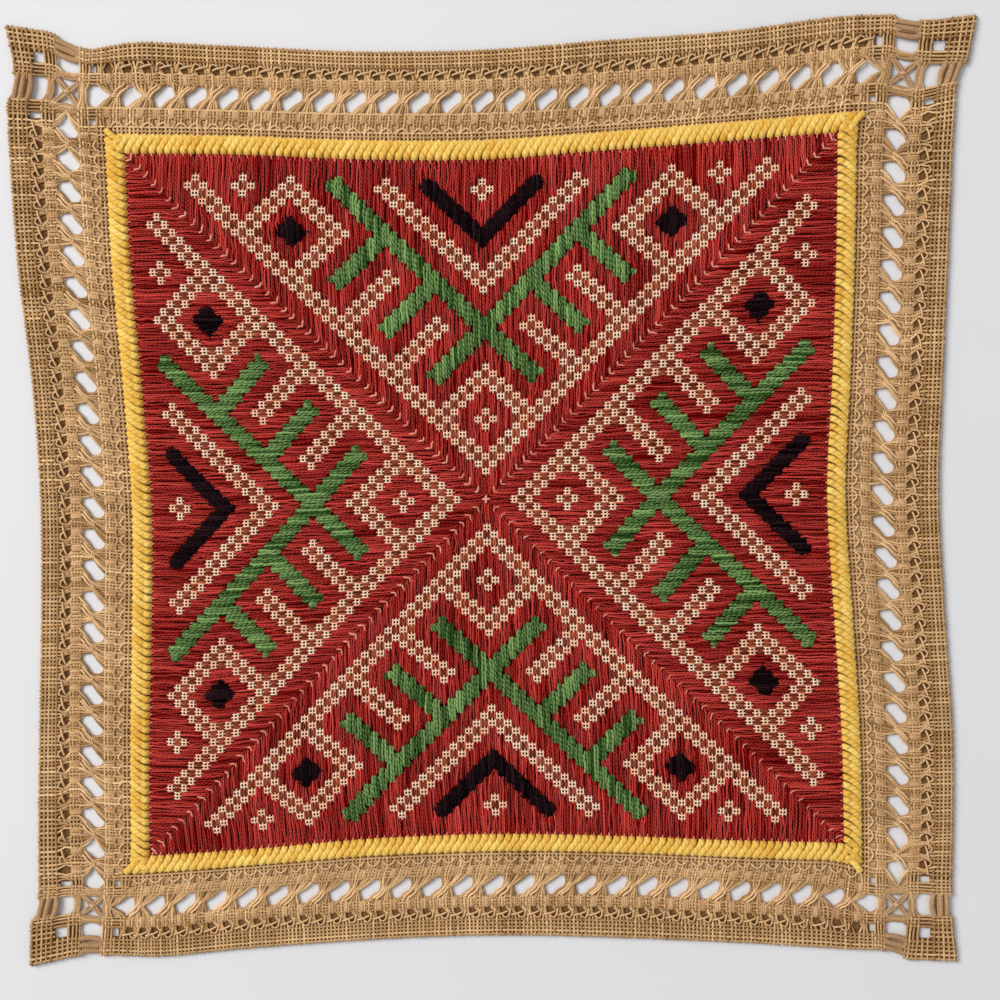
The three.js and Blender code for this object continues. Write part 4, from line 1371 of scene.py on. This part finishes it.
@dataclass
class PaleMarks:
    """The small marks of bare ground thread between the red floats, the ticks and the seams' hooks.

    Attributes:
        lattice: The pattern.
        low: Height at which a thread goes under the wool.
        high: Height of a thread over another.
        under: Height of a thread under another.
    """

    lattice: Lattice
    low: float = 1.15
    high: float = 1.62
    under: float = 1.4

    def _mark(self, guides: Guides, side: Side, u: float, w: float, shade: float) -> None:
        """One mark: two threads along the side over three across it, with two small holes between."""
        low, high, under = self.low, self.high, self.under
        for offset in (-0.5, 0.5):
            run = np.array([-1.15, -0.45, 0.45, 1.15])
            z = np.array([low, under if offset > 0 else high, high, low])
            guides.lay_on(side, u + run, w + np.full(4, offset), z, 0.85, shade)
        for offset, reach in ((-0.82, 0.95), (0.0, 1.3), (0.82, 0.95)):
            run = np.array([-reach, -0.42, 0.42, reach])
            z = np.array([low, high, high, low])
            guides.lay_on(side, u + np.full(4, offset), w + run, z, 0.78, shade)

    def marks(self) -> Guides:
        """Centre-lines of all the marks."""
        random = np.random.default_rng(21)
        guides = Guides()
        for side in Side:
            for p, q in self.lattice.marks:
                shade = some_shade(random, 0.62, 0.16, 0.2, 0.98)
                jitter = random.uniform(-0.08, 0.08, 2)
                out = self.lattice.drawn_in(2 * (p + q))
                self._mark(guides, side, 2 * (p - q) + jitter[0], out + jitter[1], shade)
        return guides

    def ticks(self) -> Guides:
        """Bare threads beside the yellow line."""
        random = np.random.default_rng(22)
        guides = Guides()
        for side in Side:
            for k in range(-44, 45):
                u = 2.0 * k + np.array([0.9, 0.9, 0.9]) + random.uniform(-0.15, 0.15)
                w = np.array([89.0, 89.6, 90.2])
                guides.lay_on(side, u, w, np.array([1.3, 1.95, 1.5]), 0.9, random.uniform(0.1, 0.6))
        return guides

    def hooks(self) -> Guides:
        """Bare threads at the seams of the quarters, each bent towards the middle, and its plus."""
        random = np.random.default_rng(23)
        guides = Guides()
        for side in Side:
            weak = side is Side.RIGHT
            for k in range(1, 45):
                c = 2.0 * k + 0.1 + random.uniform(-0.15, 0.15)
                leg = random.uniform(0.5, 1.5, 2) if weak else random.uniform(0.9, 2.1, 2)
                tilt = random.uniform(0.0, 0.4, 2)
                u = c + np.array([0.05 - tilt[0], 0.0, 0.1, 0.5 * leg[1], leg[1]])
                w = c + np.array([leg[0], 0.5 * leg[0], 0.1, 0.0, 0.05 - tilt[1]])
                z = np.array([1.55, 2.0, 2.1, 2.0, 1.55])
                girth = random.uniform(0.7, 0.95) if weak else random.uniform(0.95, 1.3)
                guides.lay_on(side, u, w, z, girth, random.uniform(0.25, 0.8))
        arm = np.array([-0.95, -0.5, 0, 0.5, 0.95])
        guides.lay(arm, np.zeros(5), np.array([1.7, 2.0, 2.05, 2.0, 1.7]), 1.3, 0.9)
        guides.lay(np.zeros(5), arm, np.array([1.7, 2.1, 2.15, 2.1, 1.7]), 1.3, 0.9)
        return guides

    def build(self, yarn: YarnTree) -> list[bpy.types.Object]:
        """The marks, the ticks and the seams' hooks as three pieces."""
        return [
            yarn.spin("pale_marks", self.marks(), PALE_THREAD),
            yarn.spin("pale_ticks", self.ticks(), SEAM_THREAD),
            yarn.spin("seam_hooks", self.hooks(), SEAM_THREAD),
        ]


@dataclass
class RaisedFloats:
    """The thick green and black stitches of one quarter.

    Attributes:
        side: The quarter's side.
        lattice: Its pattern.
        low: Height at which a float dives into the cloth.
        belly: Height of its middle.
    """

    side: Side
    lattice: Lattice
    low: float = 1.3
    belly: float = 2.05

    STRANDS = (-0.68, 0.0, 0.68)

    def floats(self, boxes: tuple[Box, ...], columns: range, seed: int) -> Guides:
        """Centre-lines of the floats of one shape.

        Args:
            boxes: The shape in lattice steps.
            columns: The columns that are worked.
            seed: Seed of the small unevenness.

        Returns:
            The guides.
        """
        random = np.random.default_rng(seed)
        guides = Guides()
        for column in columns:
            for offset in self.STRANDS:
                for low, high in self.lattice.spans(2 * column, boxes):
                    points = int(np.clip(round((high - low) / 2.2) + 3, 5, 9))
                    t = np.linspace(0, 1, points)
                    end = np.minimum(np.minimum(t, 1 - t) * (high - low) / 1.2, 1.0)
                    belly = self.belly + random.uniform(-0.08, 0.1)
                    z = self.low + (belly - self.low) * np.sin(end * math.pi / 2)
                    u = 2 * column + offset + random.uniform(-0.15, 0.15, points)
                    w = low + 0.25 + (high - low - 0.5) * t + random.uniform(-0.22, 0.22)
                    shade = some_shade(random, 0.5, 0.22, 0.02, 1.0)
                    guides.lay_on(self.side, u, w, z, random.uniform(0.85, 1.15), shade)
        return guides

    def build(self, yarn: YarnTree) -> list[bpy.types.Object]:
        """The quarter's branches, chevron and eyes."""
        side = self.side.value
        seed = 200 + 10 * list(Side).index(self.side)
        everywhere = range(-LAST_COLUMN, LAST_COLUMN + 1)
        right = range(1, LAST_COLUMN + 1)
        left = range(-LAST_COLUMN, 0)
        shapes = (
            (f"green_stitches_{side}", Lattice.BRANCHES, everywhere, GREEN_WOOL, f"green_branches_{side}"),
            (f"black_stitches_{side}", Lattice.CHEVRON, everywhere, BLACK_WOOL, f"black_chevron_{side}"),
            (f"black_eye_stitches_{side}_a", Lattice.EYE, right, BLACK_WOOL, f"black_eye_{side}_a"),
            (f"black_eye_stitches_{side}_b", Lattice.EYE, left, BLACK_WOOL, f"black_eye_{side}_b"),
        )
        return [
            yarn.spin(name, self.floats(boxes, columns, seed + order), finish, node)
            for order, (name, boxes, columns, finish, node) in enumerate(shapes)
        ]


@dataclass
class YellowPlait:
    """The yellow plaited line: long slanting strokes, each with a short full stroke over its lower end.

    Attributes:
        belly: Height of a long stroke's middle.
    """

    belly: float = 2.05

    def guides(self) -> tuple[Guides, Guides]:
        """Centre-lines of the long and the short strokes."""
        random = np.random.default_rng(31)
        long_strokes = Guides()
        short_strokes = Guides()
        for side in Side:
            for k in range(-46, 48):
                c = 2.0 * k - 0.4 + random.uniform(-0.1, 0.1)
                u = c + np.array([2.1, 1.6, 0.95, 0.3, -0.25, -0.6, -0.75])
                w = np.array([94.3, 93.9, 93.25, 92.5, 91.6, 90.75, 90.05])
                z = np.array([1.5, 1.9, self.belly, self.belly, 2.0, 1.75, 1.3])
                shade = some_shade(random, 0.55, 0.14, 0.15, 0.95)
                long_strokes.lay_on(side, u, w, z, random.uniform(0.95, 1.1), shade)
                u = c + np.array([0.1, -0.3, -0.6, -0.75, -0.8])
                w = np.array([92.1, 91.5, 90.95, 90.5, 90.05])
                z = np.array([1.8, 2.1, 2.2, 2.0, 1.35])
                shade = some_shade(random, 0.5, 0.14, 0.15, 0.9)
                short_strokes.lay_on(side, u, w, z, random.uniform(0.95, 1.1), shade)
            u = np.linspace(-92.5, 92.5, 120)
            w = 94.0 + 0.1 * np.sin(u * math.pi)
            short_strokes.lay_on(side, u, w, np.full(120, 1.78), 0.55, 0.6)
        return long_strokes, short_strokes

    def build(self, yarn: YarnTree) -> list[bpy.types.Object]:
        """Both kinds of stroke, as two pieces."""
        long_strokes, short_strokes = self.guides()
        return [
            yarn.spin("yellow_long_strokes", long_strokes, YELLOW_WOOL, "yellow_border"),
            yarn.spin("yellow_short_strokes", short_strokes, YELLOW_WOOL),
        ]


@dataclass
class Studio:
    """The plain pale floor, the soft light and the camera.

    Attributes:
        target: The point of the floor in the middle of the picture, in millimetres.
        distance: From the camera to it, in millimetres.
        tilt: How far the camera leans from straight down, in degrees.
        roll: How far the mat is turned in the picture, in degrees.
        view_angle: Of the whole picture, in degrees.
        floor_half: Half the floor's width, in metres.
        floor_height: In millimetres.
    """

    target: tuple[float, float] = (1.705, 0.539)
    distance: float = 450.0
    tilt: float = 3.9
    roll: float = 1.2
    view_angle: float = 34.0
    floor_half: float = 2.5
    floor_height: float = -0.02

    def floor(self) -> None:
        """A pale floor that fills the view."""
        half, z = self.floor_half, self.floor_height * MM
        corners = [(x * half, y * half, z) for x, y in ((-1, -1), (1, -1), (1, 1), (-1, 1))]
        mesh = bpy.data.meshes.new("studio_floor")
        mesh.from_pydata(corners, [], [(0, 1, 2, 3)])
        material, shade, body, place = start_material("pale_board")
        colour = shade.mix(shade.noise(place, 30.0, 3.0), (0.745, 0.745, 0.755, 1), (0.775, 0.775, 0.785, 1))
        shade.fill(body, Base_Color=colour, Roughness=0.7)
        mesh.materials.append(material)
        floor = show("studio_floor", mesh)

    def light(self) -> None:
        """A wide soft lamp beyond the top left corner, a weak one opposite, and an even pale surround."""
        lamps = (
            ("soft_lamp", (-1.45, 0.8, 1.5), 1.1, 45.0, (1.0, 0.985, 0.97)),
            ("fill_lamp", (0.9, -0.6, 1.2), 1.6, 2.0, (0.97, 0.985, 1.0)),
        )
        for name, place, size, power, colour in lamps:
            data = bpy.data.lights.new(name, "AREA")
            data.size = size
            data.energy = power
            data.color = colour
            lamp = show(name, data)
            lamp.location = place
            reach = math.hypot(place[0], place[1])
            lamp.rotation_euler = (0.0, math.atan2(reach, place[2]), math.atan2(place[1], place[0]))
        world = bpy.data.worlds.new("pale_surround")
        world.use_nodes = True
        background = world.node_tree.nodes["Background"]
        background.inputs["Color"].default_value = (0.95, 0.96, 1.0, 1)
        background.inputs["Strength"].default_value = 0.42
        bpy.context.scene.world = world
        bpy.context.scene.view_settings.view_transform = "Standard"

    def camera(self) -> None:
        """The camera, at the photograph's viewing angle."""
        roll = math.radians(self.roll)
        tilt = math.radians(self.tilt)
        right = np.array([math.cos(roll), -math.sin(roll), 0.0])
        ahead = np.array([math.sin(roll), math.cos(roll), 0.0])
        back = math.sin(tilt) * ahead + math.cos(tilt) * np.array([0.0, 0.0, 1.0])
        up = np.cross(back, right)
        place = np.array([*self.target, 0.0]) + self.distance * back
        data = bpy.data.cameras.new("camera")
        data.sensor_fit = "HORIZONTAL"
        data.angle = math.radians(self.view_angle)
        data.clip_start = 0.01
        data.clip_end = 20
        camera = show("camera", data)
        matrix = np.eye(4)
        matrix[:3, 0] = right
        matrix[:3, 1] = up
        matrix[:3, 2] = back
        matrix[:3, 3] = place * MM
        camera.matrix_world = matrix.T.tolist()
        bpy.context.scene.camera = camera

    def build(self) -> None:
        """All of the studio."""
        self.floor()
        self.light()
        self.camera()


def main() -> None:
    logging.basicConfig(level=logging.INFO, format="%(name)s %(message)s")
    Studio().build()
    groups = ShaderGroups()
    yarn = YarnTree(groups)
    sheet = dress(GroundSheet().build(CLOTH_SHEET.material(groups)), CLOTH_SHEET.slot, "ground_cloth")
    with_sheet = WovenBorder().build(yarn)
    with_sheet.append(BorderStitches().build(yarn))
    with_sheet.append(CornerBars().build(yarn))
    lattice = Lattice()
    with_sheet += PaleMarks(lattice).build(yarn)
    for side in Side:
        with_sheet += RedField(side, lattice).build(yarn)
        with_sheet += RaisedFloats(side, lattice).build(yarn)
    with_sheet += YellowPlait().build(yarn)


if __name__ == "__main__":
    main()
